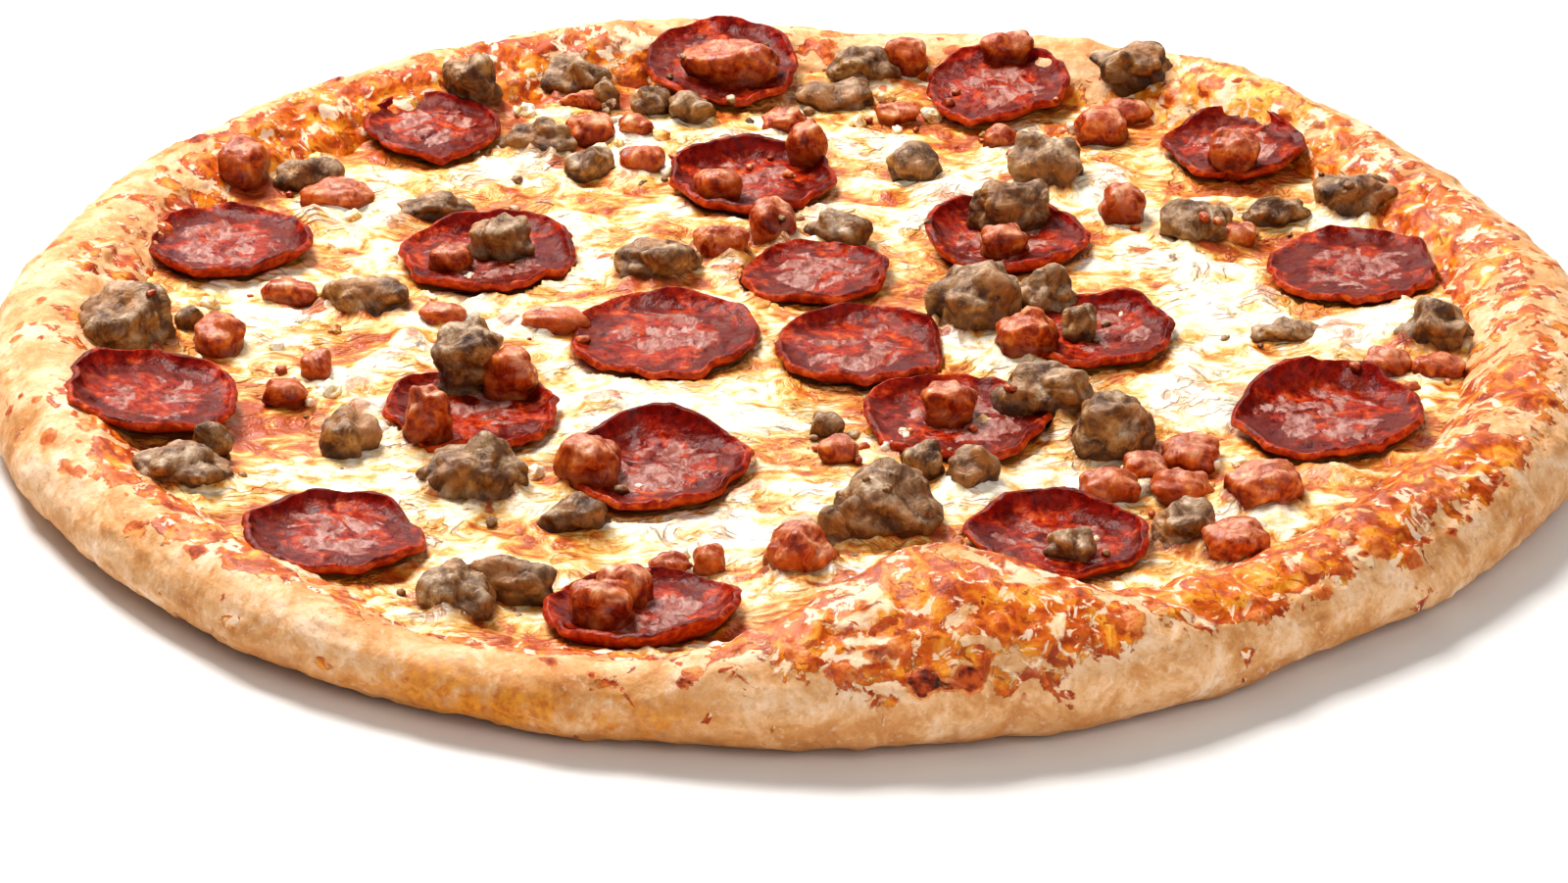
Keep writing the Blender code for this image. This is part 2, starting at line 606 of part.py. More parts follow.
def main():
    clear_scene()
    parts = new_collection("meat_pizza")
    cutters = new_collection("cutters")
    finishes = {name: new_finish(name, *look) for name, look in FINISHES.items()}

    crust = make_crust(finishes["crust"], parts)
    cheese = make_cheese(finishes["cheese"], parts)
    placed = [crust, cheese]
    rooms = [(piece, grown(piece, GAP, cutters)) for piece in placed]
    trees = [tree_of(piece) for piece in placed]

    def settle(piece):
        room = grown(piece, GAP, cutters)
        make_room(piece, rooms)
        rooms.append((piece, room))
        placed.append(piece)
        trees.append(tree_of(piece))

    bed = list(trees)
    for number, row in enumerate(PEPPERONI, 1):
        settle(make_slice(f"pepperoni_{number:02d}", row, number, bed, finishes["pepperoni"], parts))
    laid = list(trees)
    for kind, rows in (("sausage", SAUSAGE), ("ham", HAM)):
        for number, row in enumerate(rows, 1):
            settle(make_lump(f"{kind}_{number:02d}", kind, row, number, False, laid, finishes[kind], parts))

    for kind, rows in (("sausage", SMALL_SAUSAGE), ("ham", SMALL_HAM)):
        for number, row in enumerate(rows, len(SAUSAGE) + 1):
            host = host_of(row, placed, trees)
            small = make_lump("small", kind, row, number, True, trees, finishes[kind], cutters)
            room = grown(small, GAP, cutters)
            make_room(small, rooms, host)
            combine(host, small, "UNION")
            bpy.data.objects.remove(small, do_unlink=True)
            rooms.append((host, room))
            trees[placed.index(host)] = tree_of(host)

    for _, room in rooms:
        bpy.data.objects.remove(room, do_unlink=True)
    for piece in placed:
        dissolve_flat(piece)
        piece.data.shade_smooth()
        piece.data.set_sharp_from_angle(angle=math.radians(SHARP_ANGLE))


main()
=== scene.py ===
"""The looks of a whole round meat pizza: baked crust, melted cheese, pepperoni, sausage and ham.

Metres and degrees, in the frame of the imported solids: +Z up, -Y to the front, origin in the flat underside.
"""

import json
import math
import random

import bmesh
import bpy
import numpy as np
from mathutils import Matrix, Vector, noise
from mathutils.bvhtree import BVHTree

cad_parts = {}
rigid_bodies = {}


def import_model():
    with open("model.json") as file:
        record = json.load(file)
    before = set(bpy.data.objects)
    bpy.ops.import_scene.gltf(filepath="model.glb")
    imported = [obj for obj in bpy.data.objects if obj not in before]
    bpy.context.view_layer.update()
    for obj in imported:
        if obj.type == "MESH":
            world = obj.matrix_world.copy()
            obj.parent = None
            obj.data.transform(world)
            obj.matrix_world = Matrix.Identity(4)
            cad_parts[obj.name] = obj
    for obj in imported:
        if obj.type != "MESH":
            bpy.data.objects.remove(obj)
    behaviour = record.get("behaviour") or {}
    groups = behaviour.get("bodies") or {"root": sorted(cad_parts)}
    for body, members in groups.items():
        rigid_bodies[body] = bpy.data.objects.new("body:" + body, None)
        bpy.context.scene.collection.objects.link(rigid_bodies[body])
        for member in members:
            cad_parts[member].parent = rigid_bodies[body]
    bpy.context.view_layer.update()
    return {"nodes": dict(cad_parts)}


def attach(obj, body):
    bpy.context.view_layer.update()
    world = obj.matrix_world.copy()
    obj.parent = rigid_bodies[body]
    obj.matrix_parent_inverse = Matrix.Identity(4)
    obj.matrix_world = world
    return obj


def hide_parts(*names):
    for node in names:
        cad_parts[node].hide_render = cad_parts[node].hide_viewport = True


for thing in list(bpy.data.objects):
    bpy.data.objects.remove(thing, do_unlink=True)
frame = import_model()

RANDOM_SEED = 11

# Camera, fitted to the round outline
LOOK_AT = Vector((-0.0015, -0.0489, 0.010))
CAMERA_DISTANCE = 1.3
CAMERA_RISE = 25.6
LENS_MM = 138.7
SENSOR_MM = 36.0
NEAREST = 0.01

# Lights: place, size, power in watts, colour
WORLD_STRENGTH = 0.23
WORLD_COLOUR = (1.0, 0.99, 0.97, 1.0)
LIGHTS = {
    "key": ((-0.40, 0.55, 1.00), (0.5, 0.5), 20.5, (1.0, 0.98, 0.95)),
    "glow": ((0.10, 1.30, 0.55), (1.6, 0.5), 4.0, (1.0, 1.0, 1.0)),
    "front": ((0.45, -1.1, 0.80), (1.0, 0.8), 6.0, (1.0, 0.98, 0.96)),
}
FLOOR_SIZE = 3.0
FLOOR_GAP = 0.0004
FLOOR_ROUGHNESS = 0.7

# Crust grid: rays from a ring inside the rim find the solid's surface
SPINE_RADIUS = 0.163
SPINE_HEIGHT = 0.010
CAST_DIRECTIONS = 288
RIM_DIRECTIONS = 1100
RIM_ROWS = 76
FIRST_TILT = 199.0  # to the foot of the inner wall
LAST_TILT = -80.0  # to the underside
FLOOR_RINGS = (0.130, 0.110, 0.070, 0.030)
UNDERSIDE_RINGS = (0.150, 0.120, 0.080, 0.040)
FLOOR_HEIGHT = 0.006
TOPPING_REACH = 0.7  # share of a small topping's width within which it stops a ray
RIM_BLUR = (1.3, 0.8)  # grid steps, round the rim and across it
RIM_GIRTH = 0.075  # length of a row from the foot of the inner wall to the underside
RIM_RADIUS = 0.170

# Crust relief: height, scale along each axis, octaves, seed
CRUST_RELIEF = (
    (0.0009, (60.0, 60.0, 60.0), 3, 1.0),
    (0.0005, (170.0, 170.0, 510.0), 3, 4.0),
    (0.00014, (620.0, 620.0, 620.0), 2, 6.0),
)
BROWNED_RELIEF = (0.0009, 190.0, 3, 9.0)

# Browned cheese on the rim: direction, half width, strength, how far it reaches out over the rim
BROWNED = (
    (-81, 9, 0.95, 0.66),
    (-66, 8, 0.9, 0.62),
    (-52, 9, 1, 0.6),
    (-37, 9, 1.05, 0.64),
    (-20, 9, 0.8, 0.62),
    (-6, 8, 0.45, 0.6),
    (8, 8, 0.7, 0.52),
    (22, 8, 1.05, 0.54),
    (34, 7, 0.9, 0.5),
    (47, 8, 1.1, 0.52),
    (62, 7, 0.25, 0.4),
    (76, 8, 0.3, 0.4),
    (90, 8, 0.55, 0.44),
    (104, 8, 0.85, 0.46),
    (118, 9, 0.85, 0.48),
    (133, 9, 1.05, 0.5),
    (148, 9, 1, 0.5),
    (162, 8, 0.7, 0.44),
    (177, 9, 0.4, 0.42),
    (-168, 9, 0.4, 0.42),
    (-152, 9, 0.8, 0.48),
    (-137, 9, 1, 0.54),
    (-122, 9, 0.9, 0.5),
    (-107, 8, 0.85, 0.5),
    (-95, 7, 0.85, 0.56),
)
GOLD = ((47, 9),)  # directions and half widths where the browned cheese is yellow gold
# Blisters: direction, row share from foot to underside, radius, rise, how dark
BLISTERS = (
    (-81.5, 0.6, 0.0042, 0.0011, 1),
    (-78.5, 0.61, 0.0038, 0.001, 1),
    (-84.5, 0.5, 0.003, 0.0008, 0.7),
    (-86, 0.57, 0.0026, 0.0007, 0.6),
    (-136, 0.52, 0.0034, 0.0009, 1),
    (-97, 0.6, 0.0018, 0.0005, 0.9),
    (-57, 0.58, 0.003, 0.0009, 0.7),
    (-43, 0.6, 0.0034, 0.0009, 0.6),
    (147, 0.45, 0.004, 0.001, 1),
    (131, 0.46, 0.003, 0.0008, 0.9),
    (-12, 0.6, 0.0032, 0.0008, 0.5),
    (-163, 0.5, 0.0024, 0.0006, 0.5),
)
BROWNED_FADE = (0.14, 0.05)  # shares of the rows over which it ends, before and after its reach
BROWNED_SPREAD = 0.55  # how far a noise moves its edge
FRONT_BANDS = ((-112, 10, 1.0), (-100, 6, 0.6))  # caramel brown: direction, half width, strength
FRONT_BAND_ROWS = (74, 12)  # percent of the rows
SPOTS = 70
WIDE_SPOTS = 85
HUMP = (-77, 8)  # direction and half width of the front hump's fine rise
HUMP_ROWS = (33, 13)  # percent of the rows
HUMP_RISE = 0.0020

# Slices
SLICE_STEPS = 132
SLICE_TOP_RINGS = 26
SLICE_EDGE_RINGS = 6
SLICE_EDGE = 0.985  # share of the radius where the upper side turns over
SLICE_BELOW = (0.95, 0.85, 0.75, 0.62, 0.4, 0.0)  # likewise, of the rings on the underside
SLICE_RING = 0.62  # share of the radius where the flat middle ends
SLICE_WALL = 0.20  # how much less that is where the edge stands up
HIGH_WALL = 0.005
SLICE_THICKNESS = 0.0024
SLICE_THINNING = 0.3  # share of the thickness that is gone at the edge
SLICE_SINK = 0.0007
SLICE_CURL = 0.0018
SLICE_RAGGED = 0.05  # share of the radius by which the edge goes in and out
SLICE_NICKS = 0.03
SLICE_LEAN = 0.6  # share of the bed's slope that a slice takes
SLICE_REST = 0.7  # share of the radius at which a slice rests on the bed
SLICE_RELIEF = 0.00055
SLICE_GRAIN = 0.00022

# Cheese grid
CHEESE_STEP = 0.00092
CHEESE_REACH = 0.166
LUMP_FILTER = 9  # grid steps
LUMP_LEFT = 0.0003
BED_BLUR = 3.0  # grid steps
EDGE_RING = (0.138, 0.144)
CHEESE_BOTTOM = 0.0066
CHEESE_HILLS = 0.0015
CHEESE_STRINGS = 0.0008
CHEESE_DIMPLES = 0.0006
CHEESE_WARP = 0.012
CHEESE_OVERLAP = 0.0028
CLIMB_CHUNK = (0.0024, 0.0022)  # how far the cheese climbs, and the distance over which that fades
CLIMB_SLICE = (0.0010, 0.0016)
FAR = 0.02
CALM_REACH = 0.006
GREASE_REACH = 0.0042
HIDDEN_LUMPS = 70  # toppings that the cheese covers
HIDDEN_HIGHEST = 0.0028
HIDDEN_REACH = 0.135

# Colours along a noise: place on it, then red, green and blue from 0 to 255
DOUGH = ((0.34, 248, 214, 182), (0.46, 236, 188, 140), (0.56, 218, 160, 104), (0.70, 190, 122, 62))
LOW_DOUGH = ((0.3, 220, 162, 100), (0.5, 196, 132, 72), (0.7, 168, 100, 46))
CARAMEL = ((0.34, 190, 98, 14), (0.64, 234, 160, 48))
MELTED = ((0.32, 140, 44, 6), (0.42, 186, 76, 10), (0.50, 214, 106, 16), (0.58, 232, 144, 34),
          (0.70, 244, 188, 86))
RED_SPOTS = ((0.35, 138, 40, 10), (0.65, 200, 88, 26))
SCORCHED = ((0.34, 58, 16, 6), (0.48, 150, 52, 16), (0.62, 206, 96, 34))
MARKED = ((0.36, 168, 62, 14), (0.50, 208, 104, 34), (0.64, 236, 158, 88))
UNDERSIDE = ((0.3, 236, 200, 150), (0.5, 206, 150, 92), (0.62, 150, 92, 46), (0.72, 96, 52, 26))
CHEESE = ((0.16, 250, 245, 232), (0.38, 248, 234, 204), (0.52, 243, 208, 146), (0.63, 234, 174, 84),
          (0.75, 212, 126, 44), (0.90, 178, 76, 20))
THREAD = ((0.36, 198, 104, 34), (0.62, 240, 178, 104))
OIL = ((0.35, 238, 172, 60), (0.65, 200, 92, 24))
VEILED = ((0.35, 186, 104, 70), (0.65, 228, 168, 132))
TOAST = ((0.35, 156, 54, 14), (0.65, 220, 118, 42))
PEPPERONI_MEAT = ((0.32, 90, 9, 1), (0.44, 140, 26, 3), (0.54, 170, 48, 7), (0.64, 198, 82, 20),
                  (0.78, 228, 136, 60))
# Deep crimson of the slices' steep back walls: partly the meat's own colour, partly painted shade.
CRIMSON_AND_SHADE = ((0.34, 104, 3, 1), (0.64, 180, 24, 8))
AMBER = ((0.32, 140, 32, 4), (0.5, 182, 62, 10), (0.68, 214, 104, 24))
RIND = ((0.35, 128, 20, 3), (0.65, 206, 84, 28))
# Colours of the painted sheen on the pepperoni.
SHEEN = ((0.34, 108, 36, 22), (0.45, 150, 90, 78), (0.64, 196, 158, 148))
# Sausage and ham: the side colours are darker as painted shade, the top colours lighter as painted light.
SAUSAGE_SHADED_SIDE = ((0.36, 66, 32, 6), (0.45, 128, 80, 28), (0.53, 168, 116, 52), (0.64, 206, 160, 98))
SAUSAGE_LIT_TOP = ((0.36, 82, 50, 26), (0.45, 138, 100, 66), (0.53, 172, 138, 104), (0.64, 214, 190, 164))
# Ham: darker side colours as painted shade, lighter top colours as painted light.
HAM_SHADED_SIDE = ((0.36, 112, 24, 3), (0.46, 170, 62, 10), (0.56, 208, 106, 32), (0.68, 236, 154, 78))
HAM_LIT_TOP = ((0.36, 140, 56, 26), (0.46, 186, 102, 66), (0.56, 212, 146, 112), (0.68, 246, 206, 178))
STUDIO_FLOOR = ((0.3, 238.6, 238.6, 237.4), (0.7, 243.5, 243.5, 242.3))

# Slices: x, y, diameter, cup, raised side in degrees, raised by
PEPPERONI = (
    (-0.0855, 0.1135, 0.035, 0.0012, 100, 0.001),
    (-0.017, 0.147, 0.04, 0.0012, 90, 0.0008),
    (0.05, 0.136, 0.037, 0.0014, 80, 0.0015),
    (-0.009, 0.088, 0.042, 0.0022, 104, 0.005),
    (-0.129, 0.046, 0.041, 0.0018, -70, 0.0016),
    (-0.069, 0.044, 0.044, 0.0016, 95, 0.0012),
    (-0.028, -0.001, 0.044, 0.001, 60, 0.0012),
    (0.015, -0.006, 0.041, 0.0014, 40, 0.0022),
    (0.006, 0.034, 0.036, 0.0008, 20, 0.0014),
    (0.049, 0.053, 0.043, 0.0022, 165, 0.0045),
    (0.105, 0.099, 0.036, 0.0014, 60, 0.0014),
    (0.128, 0.036, 0.041, 0.0012, 30, 0.002),
    (0.115, -0.0445, 0.044, 0.0016, 100, 0.006),
    (0.055, -0.106, 0.041, 0.0022, 80, 0.0045),
    (-0.0285, -0.066, 0.043, 0.0018, 88, 0.0055),
    (-0.069, -0.038, 0.041, 0.0012, 0, 0.001),
    (-0.0955, -0.101, 0.04, 0.0016, 120, 0.0016),
    (-0.1385, -0.041, 0.041, 0.0016, 165, 0.0038),
    (-0.03, -0.134, 0.042, 0.0024, -62, 0.0032),
    (0.036, -0.043, 0.043, 0.001, 120, 0.0012),
    (0.068, 0, 0.038, 0.0014, 45, 0.0022),
)

# Chunks, each sunk in what it lies on: x, y, width, depth, height above that, turn in degrees
SAUSAGE = (
    (-0.147, -0.005, 0.021, 0.021, 0.0145, 20),
    (0.02, -0.097, 0.024, 0.02, 0.014, 0),
    (0.041, 0.011, 0.022, 0.018, 0.014, 10),
    (-0.067, -0.073, 0.024, 0.018, 0.012, 0),
    (0.069, -0.054, 0.019, 0.018, 0.013, 30),
    (0.051, 0.062, 0.021, 0.014, 0.011, 25),
    (-0.07, -0.024, 0.019, 0.013, 0.014, 60),
    (0.055, -0.035, 0.023, 0.015, 0.009, -15),
    (0.06, 0.088, 0.018, 0.015, 0.011, -20),
    (-0.129, -0.072, 0.021, 0.016, 0.008, 0),
    (0.132, 0.07, 0.02, 0.013, 0.01, 10),
    (-0.096, 0.019, 0.022, 0.014, 0.008, -10),
    (-0.068, -0.131, 0.016, 0.014, 0.011, 0),
    (-0.077, 0.131, 0.015, 0.012, 0.013, -30),
    (0.143, -0.004, 0.016, 0.013, 0.011, -25),
    (0.094, 0.058, 0.019, 0.013, 0.009, 0),
    (-0.052, 0.142, 0.017, 0.014, 0.009, -20),
    (-0.03, 0.036, 0.02, 0.013, 0.008, 0),
    (0.083, 0.134, 0.019, 0.012, 0.008, -10),
    (0.018, 0.152, 0.018, 0.012, 0.008, 0),
    (0.0815, -0.1, 0.016, 0.014, 0.008, 30),
    (0.058, 0.017, 0.014, 0.012, 0.01, 0),
    (-0.06, 0.108, 0.019, 0.011, 0.008, -10),
    (-0.0665, 0.046, 0.017, 0.012, 0.009, 0),
)
HAM = (
    (-0.0145, 0.142, 0.024, 0.013, 0.0085, -6),
    (0.002, -0.114, 0.015, 0.013, 0.011, 20),
    (0.099, -0.082, 0.017, 0.014, 0.008, 0),
    (0.052, -0.007, 0.015, 0.012, 0.009, 20),
    (-0.043, -0.07, 0.014, 0.012, 0.009, -10),
    (-0.128, 0.084, 0.011, 0.015, 0.009, -20),
    (0.092, -0.11, 0.014, 0.013, 0.008, 30),
    (-0.078, -0.052, 0.011, 0.009, 0.012, 0),
    (0.104, 0.088, 0.012, 0.011, 0.009, 0),
    (-0.061, -0.028, 0.012, 0.011, 0.01, 0),
    (-0.038, -0.137, 0.013, 0.011, 0.009, 0),
    (-0.016, 0.047, 0.014, 0.011, 0.008, -20),
    (-0.004, 0.057, 0.011, 0.01, 0.01, 0),
)

# Smaller toppings, likewise
SMALL_SAUSAGE = (
    (-0.045, 0.134, 0.008, 0.008, 0.007, 0),
    (-0.034, 0.13, 0.01, 0.009, 0.006, 0),
    (-0.024, 0.126, 0.012, 0.011, 0.007, 0),
    (-0.047, 0.095, 0.013, 0.01, 0.007, 30),
    (-0.082, 0.071, 0.019, 0.007, 0.0045, 6),
    (-0.134, 0.006, 0.007, 0.006, 0.005, 0),
    (-0.123, -0.06, 0.009, 0.008, 0.008, 0),
    (-0.045, -0.087, 0.014, 0.01, 0.006, 0),
    (-0.0575, -0.121, 0.02, 0.01, 0.0085, -15),
    (0.011, 0.139, 0.019, 0.013, 0.005, 0),
    (0.029, 0.093, 0.013, 0.011, 0.008, 0),
    (0.011, 0.057, 0.017, 0.009, 0.007, -20),
    (0.113, 0.065, 0.015, 0.009, 0.006, 10),
    (0.064, -0.002, 0.008, 0.008, 0.008, 0),
    (0.111, 0.003, 0.018, 0.008, 0.004, 0),
    (0.009, -0.102, 0.009, 0.009, 0.009, 0),
    (0.038, -0.075, 0.012, 0.012, 0.009, 0),
    (0.028, -0.07, 0.01, 0.008, 0.007, 0),
    (0.008, -0.047, 0.008, 0.007, 0.005, 0),
    (-0.095, -0.054, 0.013, 0.012, 0.008, 0),
    (-0.113, 0.085, 0.018, 0.01, 0.0075, 12),
    (0.0575, -0.112, 0.011, 0.009, 0.0055, 0),
)
SMALL_HAM = (
    (-0.049, 0.133, 0.014, 0.006, 0.004, 0),
    (-0.048, 0.115, 0.012, 0.01, 0.006, 20),
    (-0.037, 0.117, 0.009, 0.008, 0.005, 0),
    (-0.035, 0.097, 0.011, 0.009, 0.006, 0),
    (-0.001, 0.122, 0.012, 0.008, 0.0045, 0),
    (0.004, 0.099, 0.01, 0.01, 0.009, 0),
    (0.026, 0.128, 0.011, 0.007, 0.004, 0),
    (0.05, 0.113, 0.008, 0.007, 0.005, 0),
    (0.028, 0.153, 0.011, 0.009, 0.008, 0),
    (0.053, 0.149, 0.013, 0.009, 0.006, 0),
    (0.074, 0.111, 0.013, 0.011, 0.007, 0),
    (0.077, 0.068, 0.011, 0.01, 0.008, 0),
    (0.0815, 0.125, 0.012, 0.009, 0.005, 0),
    (0.103, 0.055, 0.009, 0.007, 0.0045, 0),
    (-0.106, 0.076, 0.018, 0.012, 0.0045, 10),
    (-0.113, 0.023, 0.013, 0.009, 0.005, -10),
    (-0.127, -0.003, 0.012, 0.014, 0.007, 0),
    (-0.104, -0.018, 0.008, 0.008, 0.006, 0),
    (-0.11, -0.031, 0.01, 0.008, 0.0045, 0),
    (-0.053, 0.005, 0.016, 0.008, 0.0045, -10),
    (-0.034, -0.127, 0.012, 0.01, 0.008, 0),
    (-0.017, -0.108, 0.007, 0.007, 0.006, 0),
    (-0.025, -0.108, 0.009, 0.006, 0.0045, 0),
    (0.034, -0.042, 0.012, 0.011, 0.008, 0),
    (0.049, 0.046, 0.011, 0.009, 0.007, 0),
    (0.067, -0.077, 0.013, 0.009, 0.006, 0),
    (0.075, -0.069, 0.011, 0.009, 0.006, 0),
    (0.082, -0.078, 0.013, 0.01, 0.006, 0),
    (0.085, -0.061, 0.013, 0.012, 0.0055, 0),
    (0.131, -0.018, 0.011, 0.009, 0.005, 0),
    (0.142, -0.02, 0.012, 0.008, 0.0045, 0),
    (0.01, -0.061, 0.009, 0.009, 0.0045, 0),
    (-0.0775, 0.039, 0.01, 0.009, 0.005, 0),
    (-0.017, 0.079, 0.012, 0.009, 0.006, 0),
    (-0.078, 0.011, 0.01, 0.007, 0.0045, -10),
)
BURIED_SHARE = 0.35
HAM_DEPTHS = (0.003, 0.0012, 0.0006)  # how far red, green and blue light go into the meat
FEELERS = ((0.0, 0.0), (0.3, 0.0), (-0.3, 0.0), (0.0, 0.3), (0.0, -0.3))  # shares of a lump's size
LUMP_OFFSET = Vector((3.7, 1.3, 2.1))
CHUNK_FINENESS = 5
SMALL_FINENESS = 4
CRUMB_FINENESS = 3
FIRST_SMALL = len(SAUSAGE) + 1  # the seed of the first small lump
CRUMBS = 75  # of each kind of meat
CRUMB_SIZES = (0.0010, 0.0026)
CHEESE_BEADS = 110
BEAD_SIZES = (0.0020, 0.0050)
BEAD_STREAK = 0.38
CRUMB_REACH = 0.146
CRUMB_FLATNESS = 0.6
SMALL_LUMP = 0.014  # lumps narrower than this have a weaker relief
LUMPS = {  # squareness, share that the lumps stand out, coarse and fine relief
    "sausage": (2.2, 0.34, 0.0011, 0.00050),
    "ham": (2.6, 0.24, 0.0006, 0.00040),
    "cheese": (2.0, 0.60, 0.0006, 0.0002),
}


def tint(red, green, blue):
    """A linear colour with alpha from the usual 0 to 255 values."""
    def linear(value):
        share = value / 255.0
        return share / 12.92 if share <= 0.04045 else ((share + 0.055) / 1.055) ** 2.4
    return (linear(red), linear(green), linear(blue), 1.0)


def smooth_step(low, high, value):
    share = np.clip((value - low) / (high - low), 0.0, 1.0)
    return share * share * (3.0 - 2.0 * share)


def bell(angle, centre, half_width):
    away = ((angle - centre + 180.0) % 360.0 - 180.0) / half_width
    return np.exp(-away * away)


def fractal(points, scale, octaves, seed=0.0):
    """Fractal noise at each point, about -1 to 1. The scale is one number or one for each axis."""
    shift = Vector((seed, seed * 1.7 + 3.1, seed * 0.6 - 5.3))
    scaled = np.asarray(points, float) * np.asarray(scale, float)
    return np.array([noise.fractal(Vector(p) + shift, 1.0, 2.0, octaves) for p in scaled])


# Meshes

def new_piece(name, mesh, material):
    piece = bpy.data.objects.new(name, mesh)
    bpy.context.scene.collection.objects.link(piece)
    mesh.materials.append(material)
    return piece


def join_to_frame(piece, node=None):
    """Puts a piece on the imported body, in place of a node if one is named."""
    if node:
        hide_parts(node)
    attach(piece, "root")


def mesh_of(name, points, faces):
    mesh = bpy.data.meshes.new(name)
    mesh.from_pydata([tuple(p) for p in points], [], faces)
    mesh.update()
    mesh.shade_smooth()
    return mesh


def triples(items, name, kind=np.float32):
    """An array with three numbers for each item."""
    flat = np.empty(len(items) * 3, kind)
    items.foreach_get(name, flat)
    return flat.reshape(-1, 3)


def points_of(mesh):
    return triples(mesh.vertices, "co").astype(float)


def normals_of(mesh):
    return triples(mesh.vertex_normals, "vector").astype(float)


def paint(mesh, name, values):
    """Keeps one number for each point, which the materials read."""
    layer = mesh.attributes.new(name, "FLOAT", "POINT")
    layer.data.foreach_set("value", np.asarray(values, np.float32))


def tree_of(meshes):
    """One tree of all the meshes' triangles, for rays and nearest points."""
    points, faces = [], []
    for mesh in meshes:
        mesh.calc_loop_triangles()
        faces += (triples(mesh.loop_triangles, "vertices", np.int32) + len(points)).tolist()
        points += points_of(mesh).tolist()
    return BVHTree.FromPolygons(points, faces)


def height_under(tree, x, y, missing=-1.0):
    hit = tree.ray_cast(Vector((x, y, 0.2)), Vector((0.0, 0.0, -1.0)))[0]
    return hit.z if hit else missing


def blurred(field, sigma, axis, around=False):
    """A Gaussian blur of an array along one axis, closed on itself if it runs around."""
    reach = max(int(3.0 * sigma), 1)
    steps = np.arange(-reach, reach + 1)
    weights = np.exp(-0.5 * (steps / sigma) ** 2)
    weights /= weights.sum()
    padding = [(0, 0)] * field.ndim
    padding[axis] = (reach, reach)
    padded = np.pad(field, padding, mode="wrap" if around else "edge")
    count = field.shape[axis]
    total = np.zeros_like(field)
    for step, weight in zip(steps, weights):
        total += weight * np.take(padded, np.arange(count) + reach + step, axis=axis)
    return total


# Materials

class Paint:
    """A material and short calls that add nodes. Colours are sockets, or red, green and blue to 255."""

    MIX_COLOURS = (6, 7)
    MIX_RESULT = 2

    def __init__(self, name):
        self.material = bpy.data.materials.new(name)
        self.material.use_nodes = True
        self.nodes = self.material.node_tree.nodes
        self.links = self.material.node_tree.links

    def put(self, value, socket):
        if isinstance(value, bpy.types.NodeSocket):
            self.links.new(value, socket)
        else:
            socket.default_value = value

    def add(self, kind, **inputs):
        """A node with its named inputs set. An underscore stands for a space."""
        node = self.nodes.new(kind)
        for name, value in inputs.items():
            self.put(value, node.inputs[name.replace("_", " ")])
        return node

    def value(self, name):
        node = self.add("ShaderNodeAttribute")
        node.attribute_name = name
        return node.outputs["Fac"]

    def noise(self, scale, detail=4.0, roughness=0.55, distortion=0.0, stretch=(1.0, 1.0, 1.0)):
        place = self.add("ShaderNodeTexCoord").outputs["Object"]
        place = self.add("ShaderNodeMapping", Scale=stretch, Vector=place).outputs["Vector"]
        node = self.add("ShaderNodeTexNoise", Vector=place, Scale=scale, Detail=detail,
                        Roughness=roughness, Distortion=distortion)
        return node.outputs["Fac"]

    def maths(self, operation, *values):
        node = self.add("ShaderNodeMath")
        node.operation = operation
        for value, socket in zip(values, node.inputs):
            self.put(value, socket)
        return node.outputs[0]

    def times(self, first, second):
        return self.maths("MULTIPLY", first, second)

    def uneven(self, value, by, share):
        """A value that a noise, whose mean is a half, raises and lowers."""
        return self.maths("MULTIPLY_ADD", self.maths("SUBTRACT", by, 0.5), share, value)

    def between(self, value, low, high, end=1.0, start=0.0):
        """Start below low, end above high, and a smooth step from one to the other."""
        node = self.add("ShaderNodeMapRange", Value=value, From_Min=low, From_Max=high,
                        To_Min=start, To_Max=end)
        node.interpolation_type = "SMOOTHSTEP"
        return node.outputs["Result"]

    def ramp(self, value, stops):
        node = self.add("ShaderNodeValToRGB", Fac=value)
        row = node.color_ramp.elements
        while len(row) < len(stops):
            row.new(1.0)
        for element, (place, *colour) in zip(row, stops):
            element.position = place
            element.color = tint(*colour)
        return node.outputs["Color"]

    def over(self, share, below, above):
        """A share of one colour laid over another."""
        node = self.add("ShaderNodeMix")
        node.data_type = "RGBA"
        self.put(share, node.inputs["Factor"])
        for index, colour in zip(self.MIX_COLOURS, (below, above)):
            self.put(tint(*colour) if isinstance(colour, tuple) else colour, node.inputs[index])
        return node.outputs[self.MIX_RESULT]

    def bump(self, height, depth, strength=1.0, under=None):
        node = self.add("ShaderNodeBump", Strength=strength, Distance=depth, Height=height)
        if under is not None:
            self.put(under, node.inputs["Normal"])
        return node.outputs["Normal"]

    def finish(self, colour, roughness, normal=None, specular=0.5, inner=0.0, depths=HAM_DEPTHS):
        """The whole look. A share of the light comes from inside, and depths are its ways by colour."""
        shader = self.nodes["Principled BSDF"].inputs
        self.put(colour, shader["Base Color"])
        self.put(roughness, shader["Roughness"])
        if normal is not None:
            self.put(normal, shader["Normal"])
        shader["Specular IOR Level"].default_value = specular
        shader["Subsurface Weight"].default_value = inner
        shader["Subsurface Radius"].default_value = depths
        shader["Subsurface Scale"].default_value = 1.0
        return self.material


